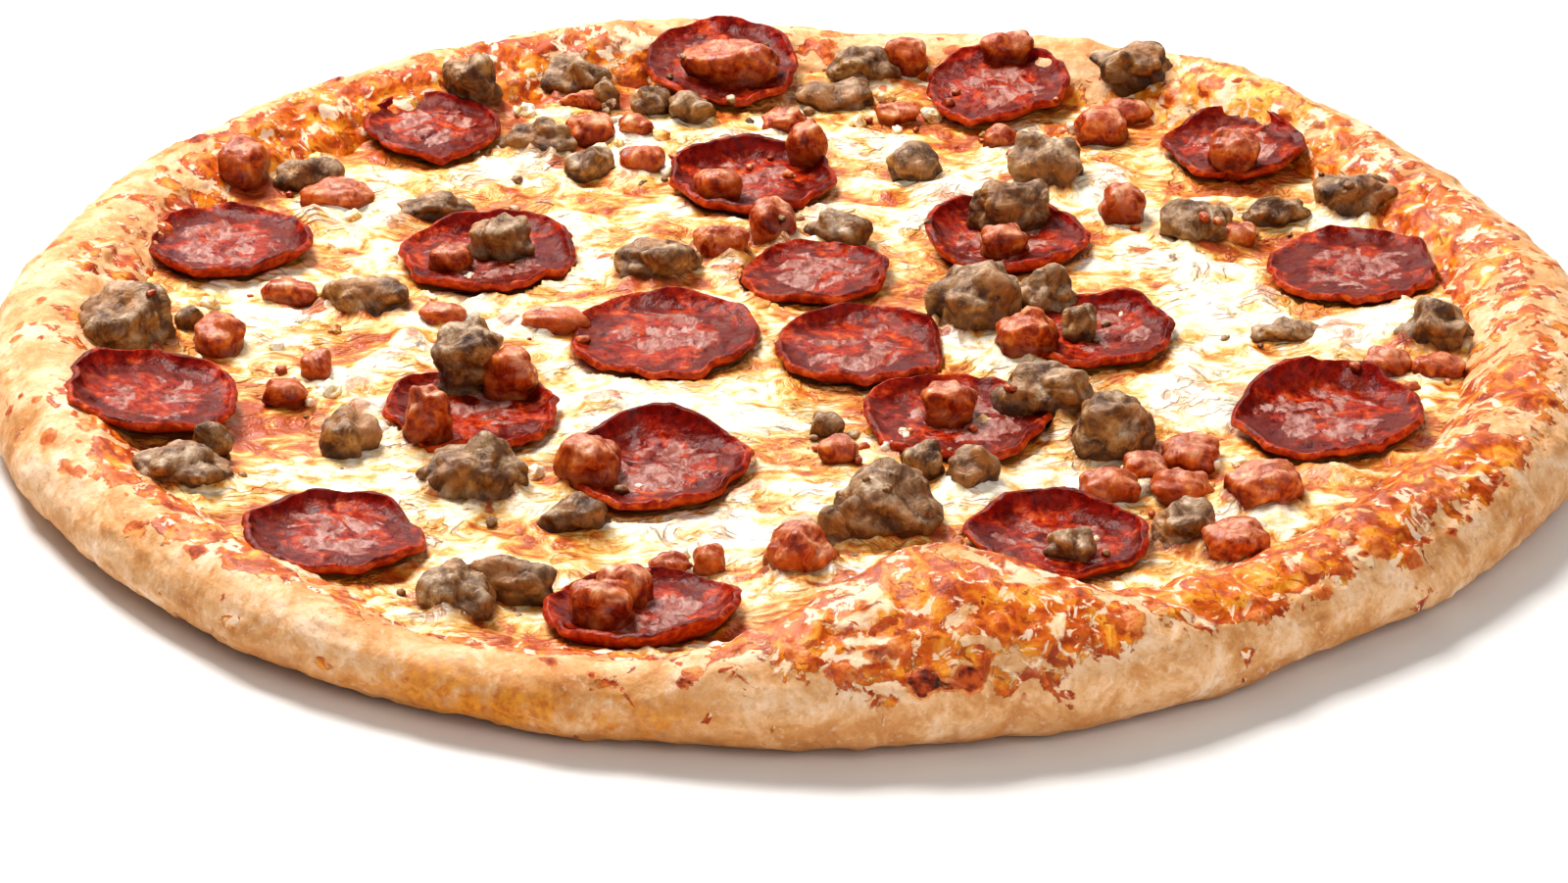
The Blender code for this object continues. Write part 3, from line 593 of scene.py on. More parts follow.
def crust_material():
    p = Paint("baked crust")
    fine = p.noise(520, 5, 0.6)
    dough = p.ramp(p.noise(85, 7, 0.66, 0.5), DOUGH)
    dough = p.over(p.between(fine, 0.50, 0.66, 0.4), dough, (200, 128, 66))
    dough = p.over(p.between(p.noise(640, 4, 0.6), 0.56, 0.68, 0.3), dough, (250, 232, 216))
    low = p.uneven(p.value("low"), p.noise(48, 4), 1.6)
    tan = p.ramp(p.noise(210, 5, 0.65, 0, (1, 1, 0.35)), LOW_DOUGH)
    dough = p.over(p.between(low, 0.30, 0.90, 0.82), dough, tan)
    band = p.times(p.value("caramel"), p.between(p.noise(110, 6, 0.65), 0.40, 0.58))
    dough = p.over(band, dough, p.ramp(fine, CARAMEL))

    zone = p.value("browned")
    field = p.uneven(p.times(zone, 0.9), p.noise(115, 4, 0.55, 0.7), 3)
    field = p.uneven(field, fine, 0.5)
    inside = p.between(field, 0.46, 0.56)
    hue = p.maths("MULTIPLY_ADD", p.value("gold"), 0.16, p.noise(150, 6, 0.60, 0.9))
    edge = p.times(p.between(field, 0.80, 0.52), p.between(p.noise(130, 3), 0.40, 0.56, 0.5))
    melted = p.over(edge, p.ramp(hue, MELTED), (156, 54, 14))
    islands = p.between(p.noise(85, 5, 0.55, 0.9), 0.56, 0.64, 0.85)
    melted = p.over(p.times(islands, p.between(zone, 0.35, 0.8)), melted, (252, 226, 186))
    fleck = p.noise(215, 4, 0.58, 0.8)
    melted = p.over(p.between(fleck, 0.57, 0.62, 0.85), melted, (252, 226, 196))
    melted = p.over(p.between(fleck, 0.43, 0.38, 0.80), melted, (158, 58, 14))
    colour = p.over(inside, dough, melted)

    spots = p.times(p.between(p.noise(260, 2, 0.5, 0.5), 0.66, 0.70), p.between(zone, 0.02, 0.25))
    colour = p.over(spots, colour, p.ramp(fine, RED_SPOTS))
    char = p.uneven(p.value("char"), fine, 0.8)
    colour = p.over(p.between(char, 0.26, 0.44, 0.9), colour, p.ramp(p.noise(300, 5, 0.62), MARKED))
    colour = p.over(p.between(char, 0.62, 0.85), colour, p.ramp(p.noise(360, 4, 0.6), SCORCHED))
    colour = p.over(p.value("underside"), colour, p.ramp(p.noise(45, 6, 0.65), UNDERSIDE))
    raised = p.bump(inside, 0.0005, 0.6)
    crags = p.bump(p.noise(480, 6, 0.65), 0.0006, 0.65, raised)
    grain = p.bump(p.noise(1700, 3, 0.6), 0.00014, 0.5, crags)
    gloss = p.between(inside, 0, 1, 0.32, 0.62)
    return p.finish(colour, gloss, grain, 0.28, 0.05, (0.0025, 0.0012, 0.0006))


def cheese_material():
    p = Paint("melted cheese")
    fine = p.noise(360, 5, 0.6, 0.6)
    melt = p.noise(105, 5, 0.58, 1.4, (0.8, 1.25, 1))
    colour = p.ramp(p.uneven(p.uneven(p.value("streak"), melt, 1.7), fine, 0.5), CHEESE)
    swirl = p.maths("ABSOLUTE", p.maths("SUBTRACT", p.noise(62, 3, 0.5, 2.2, (0.8, 1.3, 1)), 0.5))
    lines = p.times(p.between(swirl, 0.065, 0.005), p.between(p.noise(75, 3), 0.46, 0.60))
    colour = p.over(p.times(lines, 0.65), colour, p.ramp(fine, THREAD))
    near = p.uneven(p.value("grease"), fine, 1.1)
    colour = p.over(p.between(near, 0.40, 0.95, 0.85), colour, p.ramp(p.noise(260, 3), OIL))
    veiled = p.uneven(p.value("hidden"), p.noise(190, 5, 0.6, 0.6), 3)
    colour = p.over(p.between(veiled, 0.62, 0.80, 0.75), colour, p.ramp(fine, VEILED))
    spots = p.uneven(p.value("toasted"), fine, 0.8)
    colour = p.over(p.between(spots, 0.50, 0.72, 0.9), colour, p.ramp(p.noise(300, 4), TOAST))
    colour = p.over(p.times(p.value("shadow"), 0.75), colour, (132, 56, 18))
    waves = p.bump(p.maths("MULTIPLY_ADD", lines, -0.35, melt), 0.0034, 0.7)
    ripples = p.bump(p.noise(310, 4, 0.5, 0.8), 0.0006, 0.5, waves)
    grain = p.bump(p.noise(1300, 3, 0.6), 0.0001, 0.35, ripples)
    return p.finish(colour, p.between(fine, 0.3, 0.7, 0.48, 0.26), grain, 0.5, 0.12, (0.003, 0.0020, 0.0011))


def pepperoni_material():
    p = Paint("pepperoni")
    out = p.value("out")
    grain = p.noise(430, 5, 0.65, 0.4)
    # Painted shade: a dark ring inside the edge of each slice, mixed with random dark patches of the meat.
    ring = p.times(p.between(out, 0.45, 0.64), p.between(out, 0.96, 0.80))
    patches_and_ring_shade = p.maths("MULTIPLY_ADD", ring, 0.14, p.noise(110, 4, 0.6, 0.6))
    colour = p.over(p.between(patches_and_ring_shade, 0.50, 0.64, 0.75), p.ramp(grain, PEPPERONI_MEAT), (74, 5, 1))
    # The steep back walls turn deep crimson: partly the meat's own colour, partly painted shade inside the
    # cup.
    colour = p.over(p.times(p.value("crimson_and_shaded_wall"), 0.65), colour, p.ramp(grain, CRIMSON_AND_SHADE))
    side = p.uneven(p.value("front"), p.noise(60, 3), 1.6)
    colour = p.over(p.between(side, 0.3, 0.9, 0.85), colour, p.ramp(grain, AMBER))
    colour = p.over(p.between(out, 0.92, 0.98, 0.8), colour, p.ramp(grain, RIND))
    # Painted sheen: a pinkish grey highlight over the flat middle of each slice, where it faces up.
    painted_sheen = p.uneven(p.value("painted_sheen"), p.noise(95, 6, 0.62, 1.2), 4.4)
    sheen = p.ramp(p.noise(480, 5, 0.66, 0.8, (1, 0.5, 1)), SHEEN)
    colour = p.over(p.between(painted_sheen, 0.88, 1, 0.85), colour, sheen)
    sunk = p.bump(p.noise(190, 4, 0.55), 0.0014, 0.6)
    pits = p.bump(p.noise(700, 5, 0.65), 0.0004, 0.6, sunk)
    gloss = p.between(grain, 0.3, 0.7, 0.46, 0.26)
    return p.finish(colour, gloss, pits, 0.15, 0.04, (0.003, 0.0008, 0.0004))


def sausage_material():
    p = Paint("sausage")
    lumps = p.noise(190, 7, 0.68, 0.5)
    fine = p.noise(820, 4, 0.65)
    # Painted light and shade: faces turned up take the lighter top colours, the rest the darker side colours.
    rise = p.uneven(p.value("up"), p.noise(120, 3), 1.4)
    colour = p.over(p.between(rise, 0.15, 0.85), p.ramp(lumps, SAUSAGE_SHADED_SIDE), p.ramp(lumps, SAUSAGE_LIT_TOP))
    colour = p.over(p.between(p.noise(95, 3), 0.52, 0.64, 0.55), colour, (178, 112, 48))
    # Painted shade in the hollows of the relief.
    colour = p.over(p.between(p.value("hollow_shade"), 0.45, 0.95, 0.6), colour, (84, 44, 18))
    colour = p.over(p.between(fine, 0.62, 0.72, 0.35), colour, (222, 204, 180))
    # Painted shade at the foot of each lump.
    colour = p.over(p.times(p.value("foot_shade"), 0.7), colour, (54, 26, 8))
    folds = p.bump(p.noise(260, 6, 0.62, 0.8), 0.0018, 0.7)
    grain = p.bump(p.noise(950, 5, 0.7), 0.0003, 0.6, folds)
    return p.finish(colour, p.between(fine, 0.3, 0.7, 0.56, 0.34), grain)


def ham_material():
    p = Paint("fried ham")
    grain = p.noise(260, 7, 0.66, 0.5)
    # Painted light and shade: faces turned up take the lighter top colours, the rest the darker side colours.
    rise = p.uneven(p.value("up"), p.noise(140, 3), 1.6)
    colour = p.over(p.between(rise, 0.30, 1, 0.85), p.ramp(grain, HAM_SHADED_SIDE), p.ramp(grain, HAM_LIT_TOP))
    # Painted shade in the hollows of the relief.
    colour = p.over(p.between(p.value("hollow_shade"), 0.45, 0.95, 0.45), colour, (124, 20, 3))
    colour = p.over(p.between(p.noise(110, 4), 0.52, 0.64, 0.7), colour, (184, 84, 16))
    # Painted shade at the foot of each lump.
    colour = p.over(p.times(p.value("foot_shade"), 0.7), colour, (84, 14, 3))
    fibres = p.bump(p.noise(620, 5, 0.62), 0.0004, 0.5, p.bump(grain, 0.0010, 0.45))
    return p.finish(colour, p.between(grain, 0.3, 0.7, 0.40, 0.20), fibres, 0.35, 0.10)


def floor_material():
    p = Paint("floor")
    return p.finish(p.ramp(p.noise(3, 2), STUDIO_FLOOR), FLOOR_ROUGHNESS)


# Crust

def rim_distances(tilts):
    """Distance from the ring inside the rim to the solid's surface, as if there were no small toppings."""
    tree = tree_of([frame["nodes"]["crust"].data])
    found = np.zeros((CAST_DIRECTIONS, RIM_ROWS))
    toppings = np.array([row[:3] for row in SMALL_SAUSAGE + SMALL_HAM])
    for i in range(CAST_DIRECTIONS):
        angle = math.tau * i / CAST_DIRECTIONS
        across = Vector((math.cos(angle), math.sin(angle), 0.0))
        start = across * SPINE_RADIUS + Vector((0.0, 0.0, SPINE_HEIGHT))
        for j, tilt in enumerate(tilts):
            way = across * math.cos(tilt) + Vector((0.0, 0.0, math.sin(tilt)))
            hit = tree.ray_cast(start, way)[0]
            found[i, j] = (hit - start).length
            away = np.hypot(toppings[:, 0] - hit.x, toppings[:, 1] - hit.y)
            if tilt > 0.0 and (away < TOPPING_REACH * toppings[:, 2]).any():
                found[i, j] = np.nan
    steps = np.arange(CAST_DIRECTIONS)
    for j in range(RIM_ROWS):
        known = ~np.isnan(found[:, j])
        found[:, j] = np.interp(steps, steps[known], found[known, j], period=CAST_DIRECTIONS)
    return blurred(blurred(found, RIM_BLUR[0], 0, True), RIM_BLUR[1], 1)


def browned_share(places, degrees, rows):
    """How much browned cheese lies at each point of the rim."""
    zone = np.zeros(len(places))
    weight = np.full(len(places), 1e-6)
    for direction, half_width, strength, reach in BROWNED:
        share = bell(degrees, direction, half_width)
        past = smooth_step(reach - BROWNED_FADE[0], reach + BROWNED_FADE[1], rows)
        zone += share * strength * (1.0 - past)
        weight += share
    zone = zone / np.maximum(weight, 0.6)
    spread = fractal(places, 45.0, 3, 2.0)
    return np.clip(zone * 1.05 + BROWNED_SPREAD * spread * np.minimum(zone * 3.0, 1.0), 0.0, 1.3)


def scattered_spots():
    """Small and wide scorched spots all round the rim, in rows like those of BLISTERS."""
    small = [(random.uniform(-180.0, 180.0), random.uniform(0.40, 0.62), random.uniform(0.0008, 0.0019),
              random.uniform(0.0001, 0.0003), random.uniform(0.6, 0.95)) for _ in range(SPOTS)]
    wide = [(random.uniform(-180.0, 180.0), random.gauss(0.46, 0.07), random.uniform(0.0022, 0.0046),
             random.uniform(0.0002, 0.0006), random.uniform(0.45, 0.66)) for _ in range(WIDE_SPOTS)]
    return small + wide


def scorched_and_raised(places, degrees, rows):
    """How dark the blisters and spots make each point of the rim, and how far they lift it."""
    char = np.zeros(len(places))
    lift = np.zeros(len(places))
    ragged = 1.0 + 0.35 * fractal(places, 330.0, 2, 3.0)
    for direction, row, reach, rise, dark in BLISTERS + tuple(scattered_spots()):
        around = np.radians((degrees - direction + 180.0) % 360.0 - 180.0) * RIM_RADIUS
        away = np.hypot(around, (rows - row) * RIM_GIRTH) / reach * ragged
        lift += rise * np.exp(-away * away)
        char = np.maximum(char, dark * (1.0 - smooth_step(0.55, 1.05, away)))
    return char, lift


def ring_of_faces(lower, upper):
    """Squares between two closed rings of points, which are lists of numbers."""
    following = lower[1:] + lower[:1], upper[1:] + upper[:1]
    return list(zip(lower, upper, following[1], following[0]))


def crust_faces(count):
    """Faces of the rim, the floor inside it and the underside, whose points follow one another."""
    turns = range(RIM_DIRECTIONS)
    rim = [[i * RIM_ROWS + j for i in turns] for j in range(RIM_ROWS)]
    inner = [[count + r * RIM_DIRECTIONS + i for i in turns] for r in range(len(FLOOR_RINGS))]
    count += len(FLOOR_RINGS) * RIM_DIRECTIONS
    under = [[count + r * RIM_DIRECTIONS + i for i in turns] for r in range(len(UNDERSIDE_RINGS))]
    floor_middle = count + len(UNDERSIDE_RINGS) * RIM_DIRECTIONS
    rings = inner[::-1] + rim + under
    faces = []
    for lower, upper in zip(rings, rings[1:]):
        faces += ring_of_faces(lower, upper)
    for k, i in zip(list(turns)[1:] + [0], turns):
        faces.append((inner[-1][i], inner[-1][k], floor_middle))
        faces.append((under[-1][i], floor_middle + 1, under[-1][k]))
    return faces


def make_crust(material):
    """Rows of points over the rim, in rings that go on over the floor inside it and over the underside."""
    tilts = np.radians(np.linspace(FIRST_TILT, LAST_TILT, RIM_ROWS))
    distances = rim_distances(tilts)
    turns = np.arange(RIM_DIRECTIONS) / RIM_DIRECTIONS
    casts = np.arange(CAST_DIRECTIONS + 1) / CAST_DIRECTIONS
    closed = np.vstack([distances, distances[:1]])
    fine = np.stack([np.interp(turns, casts, closed[:, j]) for j in range(RIM_ROWS)], axis=1)
    angles = math.tau * turns
    rows = np.tile(np.linspace(0.0, 1.0, RIM_ROWS), RIM_DIRECTIONS)
    degrees = np.repeat(np.degrees(angles), RIM_ROWS)
    tilt = np.tile(tilts, RIM_DIRECTIONS)
    around = np.repeat(angles, RIM_ROWS)
    way = np.stack([np.cos(around) * np.cos(tilt), np.sin(around) * np.cos(tilt), np.sin(tilt)], axis=1)
    spine = np.stack([np.cos(around), np.sin(around), np.zeros(len(around))], axis=1) * SPINE_RADIUS
    places = spine + way * fine.reshape(-1, 1) + np.array([0.0, 0.0, SPINE_HEIGHT])

    browned = browned_share(places, degrees, rows)
    char, relief = scorched_and_raised(places, degrees, rows)
    relief += HUMP_RISE * bell(degrees, *HUMP) * bell(rows * 100.0, *HUMP_ROWS)
    for height, scale, octaves, seed in CRUST_RELIEF:
        relief += height * fractal(places, scale, octaves, seed)
    height, scale, octaves, seed = BROWNED_RELIEF
    relief += height * smooth_step(0.3, 0.8, browned) * fractal(places, scale, octaves, seed)
    relief *= smooth_step(1.0, 0.93, rows) * smooth_step(0.0, 0.05, rows)
    places = places + way * relief[:, None]
    places[:, 2] = np.maximum(places[:, 2], 0.0)

    rings = [(ring, FLOOR_HEIGHT) for ring in FLOOR_RINGS] + [(ring, 0.0) for ring in UNDERSIDE_RINGS]
    flat = [(ring * math.cos(a), ring * math.sin(a), level) for ring, level in rings for a in angles]
    middles = [(0.0, 0.0, FLOOR_HEIGHT), (0.0, 0.0, 0.0)]
    mesh = mesh_of("baked_crust", places.tolist() + flat + middles, crust_faces(len(places)))
    gold = sum(bell(degrees, *where) for where in GOLD)
    band = sum(strength * bell(degrees, *where) for *where, strength in FRONT_BANDS)
    caramel = band * bell(rows * 100.0, *FRONT_BAND_ROWS)
    low = smooth_step(0.60, 0.95, rows)
    layers = {"browned": (browned, 0.0), "char": (char, 0.0), "gold": (gold, 0.0), "caramel": (caramel, 0.0),
              "low": (low, 1.0)}
    for name, (values, elsewhere) in layers.items():
        paint(mesh, name, np.concatenate([values, np.full(len(flat) + len(middles), elsewhere)]))
    paint(mesh, "underside", smooth_step(0.0012, 0.0002, points_of(mesh)[:, 2]))
    crust = new_piece("baked_crust", mesh, material)
    join_to_frame(crust, "crust")
    return crust


# Bed

def filtered(field, steps, pick):
    """The lowest or highest value within this many grid steps, with np.minimum or np.maximum to pick it."""
    result = field
    for axis in (0, 1):
        padded = np.pad(result, [(steps, steps) if a == axis else (0, 0) for a in (0, 1)], mode="edge")
        along = np.arange(result.shape[axis])
        result = np.take(padded, along, axis=axis)
        for shift in range(1, 2 * steps + 1):
            result = pick(result, np.take(padded, along + shift, axis=axis))
    return result


class Bed:
    """The upper side of the cheese without the small toppings of its solid, and of the crust round it."""

    def __init__(self, crust):
        solid = tree_of([frame["nodes"]["cheese"].data])
        count = int(2.0 * CHEESE_REACH / CHEESE_STEP) + 1
        line = np.linspace(-CHEESE_REACH, CHEESE_REACH, count)
        self.crust_tree = tree_of([crust.data])
        self.x, self.y = np.meshgrid(line, line, indexing="ij")
        self.radius = np.hypot(self.x, self.y)
        self.inside = self.radius < CHEESE_REACH
        found = np.full(self.x.shape, np.nan)
        self.crust_top = np.full(self.x.shape, -1.0)
        for i, j in zip(*np.nonzero(self.inside)):
            found[i, j] = height_under(solid, self.x[i, j], self.y[i, j], np.nan)
            self.crust_top[i, j] = height_under(self.crust_tree, self.x[i, j], self.y[i, j])
        edge_height = np.nanmedian(found[(self.radius > EDGE_RING[0]) & (self.radius < EDGE_RING[1])])
        found = np.where(np.isnan(found), edge_height, found)
        opened = filtered(filtered(found, LUMP_FILTER, np.minimum), LUMP_FILTER, np.maximum)
        self.height = blurred(blurred(np.minimum(found, opened + LUMP_LEFT), BED_BLUR, 0), BED_BLUR, 1)

    def surface(self, x, y):
        column = (x + CHEESE_REACH) / CHEESE_STEP
        row = (y + CHEESE_REACH) / CHEESE_STEP
        i, j = int(column), int(row)
        a, b = column - i, row - j
        near = self.height[i:i + 2, j:j + 2]
        first, second = near[0] * (1 - a) + near[1] * a
        return max(first * (1 - b) + second * b, height_under(self.crust_tree, x, y))


# Slices

def leaning_plane(x, y, reach, bed):
    """Height at the middle and slopes of the plane on which a slice of this reach lies."""
    turns = math.tau * np.arange(8) / 8
    rim = np.array([bed.surface(x + reach * math.cos(turn), y + reach * math.sin(turn)) for turn in turns])
    return rim.mean(), (np.cos(turns) * rim).mean() * 2.0 / reach, (np.sin(turns) * rim).mean() * 2.0 / reach


def slice_profile():
    """Share of the radius and layer of each ring: layer 1 is the upper side and 0 the underside."""
    top = [(share, 1.0) for share in np.linspace(0.0, 1.0, SLICE_TOP_RINGS) ** 0.8 * SLICE_EDGE]
    turns = np.linspace(0.3, math.pi, SLICE_EDGE_RINGS)
    edge = [(SLICE_EDGE + (1.0 - SLICE_EDGE) * math.sin(t), 0.5 + 0.5 * math.cos(t)) for t in turns]
    return np.array(top + edge + [(share, 0.0) for share in SLICE_BELOW])


def slice_points(number, row, bed):
    """Points of a cupped slice, ring by ring."""
    x, y, diameter, cup, side, raised = row
    reach = diameter / 2.0
    profile = slice_profile()
    angle = math.tau * np.arange(SLICE_STEPS) / SLICE_STEPS
    share, layer = profile.T[:, :, None] * np.ones(SLICE_STEPS)
    around = np.stack([np.cos(angle), np.sin(angle), np.full(SLICE_STEPS, float(number))], axis=1)
    ragged = np.array([2.0 * noise.noise(Vector(p) * 1.7) for p in around])
    nicks = fractal(around * (1.0, 1.0, 3.1), 3.6, 3, 4.0)
    curl = fractal(around * (1.0, 1.0, 2.3), 1.9, 3, 1.0)
    level = layer * SLICE_THICKNESS * (1.0 - SLICE_THINNING * smooth_step(0.6, 1.0, share))
    radius = share * reach
    facing = np.maximum(np.cos(angle - math.radians(side)), 0.0) ** 2.0
    ring = reach * (SLICE_RING - SLICE_WALL * facing * min(raised / HIGH_WALL, 1.2))
    lift = cup + raised * facing + SLICE_CURL * (1.0 + 1.5 * curl)
    bend = np.clip(2.0 * lift / (reach - ring), 0.05, 1.5)
    longest = reach * (1.0 + SLICE_RAGGED * ragged + SLICE_NICKS * nicks) - ring
    turn = bend * np.clip((radius - ring) / (reach - ring), 0.0, 1.0)
    across = np.minimum(radius, ring) + longest * np.sin(turn) / bend - level * np.sin(turn)
    rise = longest * (1.0 - np.cos(turn)) / bend + level * np.cos(turn)
    middle, slope_x, slope_y = leaning_plane(x, y, SLICE_REST * reach, bed)
    middle += (1.0 - SLICE_LEAN) * math.hypot(slope_x, slope_y) * SLICE_REST * reach
    local_x, local_y = across * np.cos(angle), across * np.sin(angle)
    height = middle + SLICE_LEAN * (slope_x * local_x + slope_y * local_y) - SLICE_SINK + rise
    places = np.stack([x + local_x, y + local_y, height], axis=2).reshape(-1, 3)
    relief = SLICE_RELIEF * fractal(places, 130.0, 3, number) + SLICE_GRAIN * fractal(places, 480.0, 2, 7.0)
    upper = layer.ravel() > 0.5
    places[:, 2] += relief * upper * (1.0 - 0.5 * smooth_step(0.8, 1.0, share.ravel()))
    return places


def make_slice(number, row, bed, material):
    name = f"slice_{number:02d}"
    places = slice_points(number, row, bed)
    rings = [list(range(first, first + SLICE_STEPS)) for first in range(0, len(places), SLICE_STEPS)]
    faces = [face for upper, lower in zip(rings, rings[1:]) for face in ring_of_faces(upper, lower)]
    mesh = mesh_of(name, places, faces)
    form = bmesh.new()
    form.from_mesh(mesh)
    bmesh.ops.remove_doubles(form, verts=form.verts, dist=0.000001)
    form.to_mesh(mesh)
    form.free()
    x, y, diameter = row[:3]
    flat = (points_of(mesh)[:, :2] - np.array([x, y])) / (diameter / 2.0)
    out = np.hypot(flat[:, 0], flat[:, 1])
    ways = normals_of(mesh)
    steep = smooth_step(0.92, 0.60, ways[:, 2])
    paint(mesh, "out", out)
    paint(mesh, "front", smooth_step(0.1, -0.4, ways[:, 1]) * smooth_step(0.0, -0.4, flat[:, 1]) * steep)
    # Mask of the steep back walls, which take deep crimson and painted shade.
    paint(mesh, "crimson_and_shaded_wall", smooth_step(0.0, 0.4, flat[:, 1]) * steep)
    # Mask of the painted sheen: the flat middle, where it faces up.
    paint(mesh, "painted_sheen", smooth_step(0.80, 0.40, out) * smooth_step(0.75, 0.97, ways[:, 2]))
    piece = new_piece(name, mesh, material)
    join_to_frame(piece, f"pepperoni_{number:02d}")
    return piece


# Cheese

def distances_to(tree, bed):
    """Distance from each place on the bed to the nearest face of a tree, FAR at most."""
    near = np.full(bed.x.shape, FAR)
    for i, j in zip(*np.nonzero(bed.inside)):
        found = tree.find_nearest(Vector((bed.x[i, j], bed.y[i, j], bed.height[i, j])), FAR)
        if found[0]:
            near[i, j] = found[3]
    return near


def fading(rise_and_reach, distance):
    rise, reach = rise_and_reach
    return rise * np.exp(-distance / reach)


def make_cheese(material, bed, slice_tree, chunk_tree):
    """A fine sheet over the bed, with hills, strings and a little rise where it clings to the toppings."""
    x, y, radius = bed.x, bed.y, bed.radius
    flat = np.stack([x.ravel(), y.ravel(), np.zeros(x.size)], axis=1)
    warp = [fractal(flat, 26.0, 2, seed) * CHEESE_WARP for seed in (1.0, 5.0)]
    warped = flat + np.stack([*warp, np.zeros(x.size)], axis=1)
    pools = fractal(warped, (42.0, 60.0, 1.0), 4, 3.0).reshape(x.shape)
    valleys = np.abs(fractal(warped, (95.0, 150.0, 1.0), 2, 6.0)) * 2.2
    strings = ((1.0 - np.minimum(valleys, 1.0)) ** 2).reshape(x.shape)
    dimples = fractal(flat, 160.0, 3, 8.0).reshape(x.shape)
    hidden = hills_of(x, y)
    near_slice = distances_to(slice_tree, bed)
    near_chunk = distances_to(chunk_tree, bed)
    covered = np.full(x.shape, 1.0)
    for i, j in zip(*np.nonzero(bed.inside)):
        covered[i, j] = height_under(slice_tree, x[i, j], y[i, j], 1.0)
    climb = (1.0 + 0.8 * dimples) * (fading(CLIMB_CHUNK, near_chunk) + fading(CLIMB_SLICE, near_slice))
    calm = smooth_step(0.0, CALM_REACH, np.minimum(near_slice, near_chunk))
    height = bed.height + CHEESE_HILLS * pools * (0.4 + 0.6 * calm)
    height += CHEESE_STRINGS * strings * smooth_step(-0.2, 0.3, pools)
    height += CHEESE_DIMPLES * dimples + climb + hidden * calm
    height = np.minimum(height, np.maximum(covered - 1.5 * SLICE_THICKNESS, CHEESE_BOTTOM + 0.0005))

    streak = 0.50 - 0.44 * pools + 0.16 * strings * smooth_step(0.1, -0.3, pools)
    streak += 0.12 * smooth_step(0.125, 0.150, radius) - 30.0 * hidden + 0.10 * (1.0 - calm)
    patches = fractal(flat, (70.0, 110.0, 1.0), 4, 12.0).reshape(x.shape)
    layers = {
        "streak": streak,
        "grease": fading((1.0, GREASE_REACH), near_slice),
        "toasted": smooth_step(0.25, 0.60, patches) * smooth_step(FAR, 0.0, near_chunk),
        "hidden": hidden / HIDDEN_HIGHEST,
        "shadow": smooth_step(0.0016, 0.0002, near_chunk),
    }
    keep = (radius < CHEESE_REACH - 2.0 * CHEESE_STEP) & (height > bed.crust_top - CHEESE_OVERLAP)
    index = -np.ones(x.shape, int)
    index[keep] = np.arange(keep.sum())
    squares = keep[:-1, :-1] & keep[1:, :-1] & keep[:-1, 1:] & keep[1:, 1:]
    corners = np.stack([index[:-1, :-1], index[1:, :-1], index[1:, 1:], index[:-1, 1:]], axis=2)[squares]
    mesh = mesh_of("cheese_bed", np.stack([x[keep], y[keep], height[keep]], axis=1), corners.tolist())
    for name, values in layers.items():
        paint(mesh, name, values[keep])
    close_below(mesh)
    join_to_frame(new_piece("cheese_bed", mesh, material), "cheese")


def hills_of(x, y):
    """Rounded hills where the cheese covers a topping."""
    hills = np.zeros(x.shape)
    for _ in range(HIDDEN_LUMPS):
        angle = random.uniform(0.0, math.tau)
        away = HIDDEN_REACH * math.sqrt(random.random())
        size = random.uniform(0.0035, 0.0065)
        rise = random.uniform(0.0012, HIDDEN_HIGHEST)
        along = (y - away * math.sin(angle)) * random.uniform(0.8, 1.3)
        hills = np.maximum(hills, rise * np.exp(-(np.hypot(x - away * math.cos(angle), along) / size) ** 3))
    return hills


def close_below(mesh):
    """Drops what isn't joined to a face, and gives the sheet sides and a flat underside."""
    form = bmesh.new()
    form.from_mesh(mesh)
    bmesh.ops.delete(form, geom=[v for v in form.verts if not v.link_faces], context="VERTS")
    border = [edge for edge in form.edges if edge.is_boundary]
    made = bmesh.ops.extrude_edge_only(form, edges=border)["geom"]
    for item in made:
        if isinstance(item, bmesh.types.BMVert):
            item.co.z = CHEESE_BOTTOM
    lower = [item for item in made if isinstance(item, bmesh.types.BMEdge) and item.is_boundary]
    bmesh.ops.holes_fill(form, edges=lower)
    bmesh.ops.recalc_face_normals(form, faces=form.faces)
    form.to_mesh(mesh)
    form.free()


# Lumps

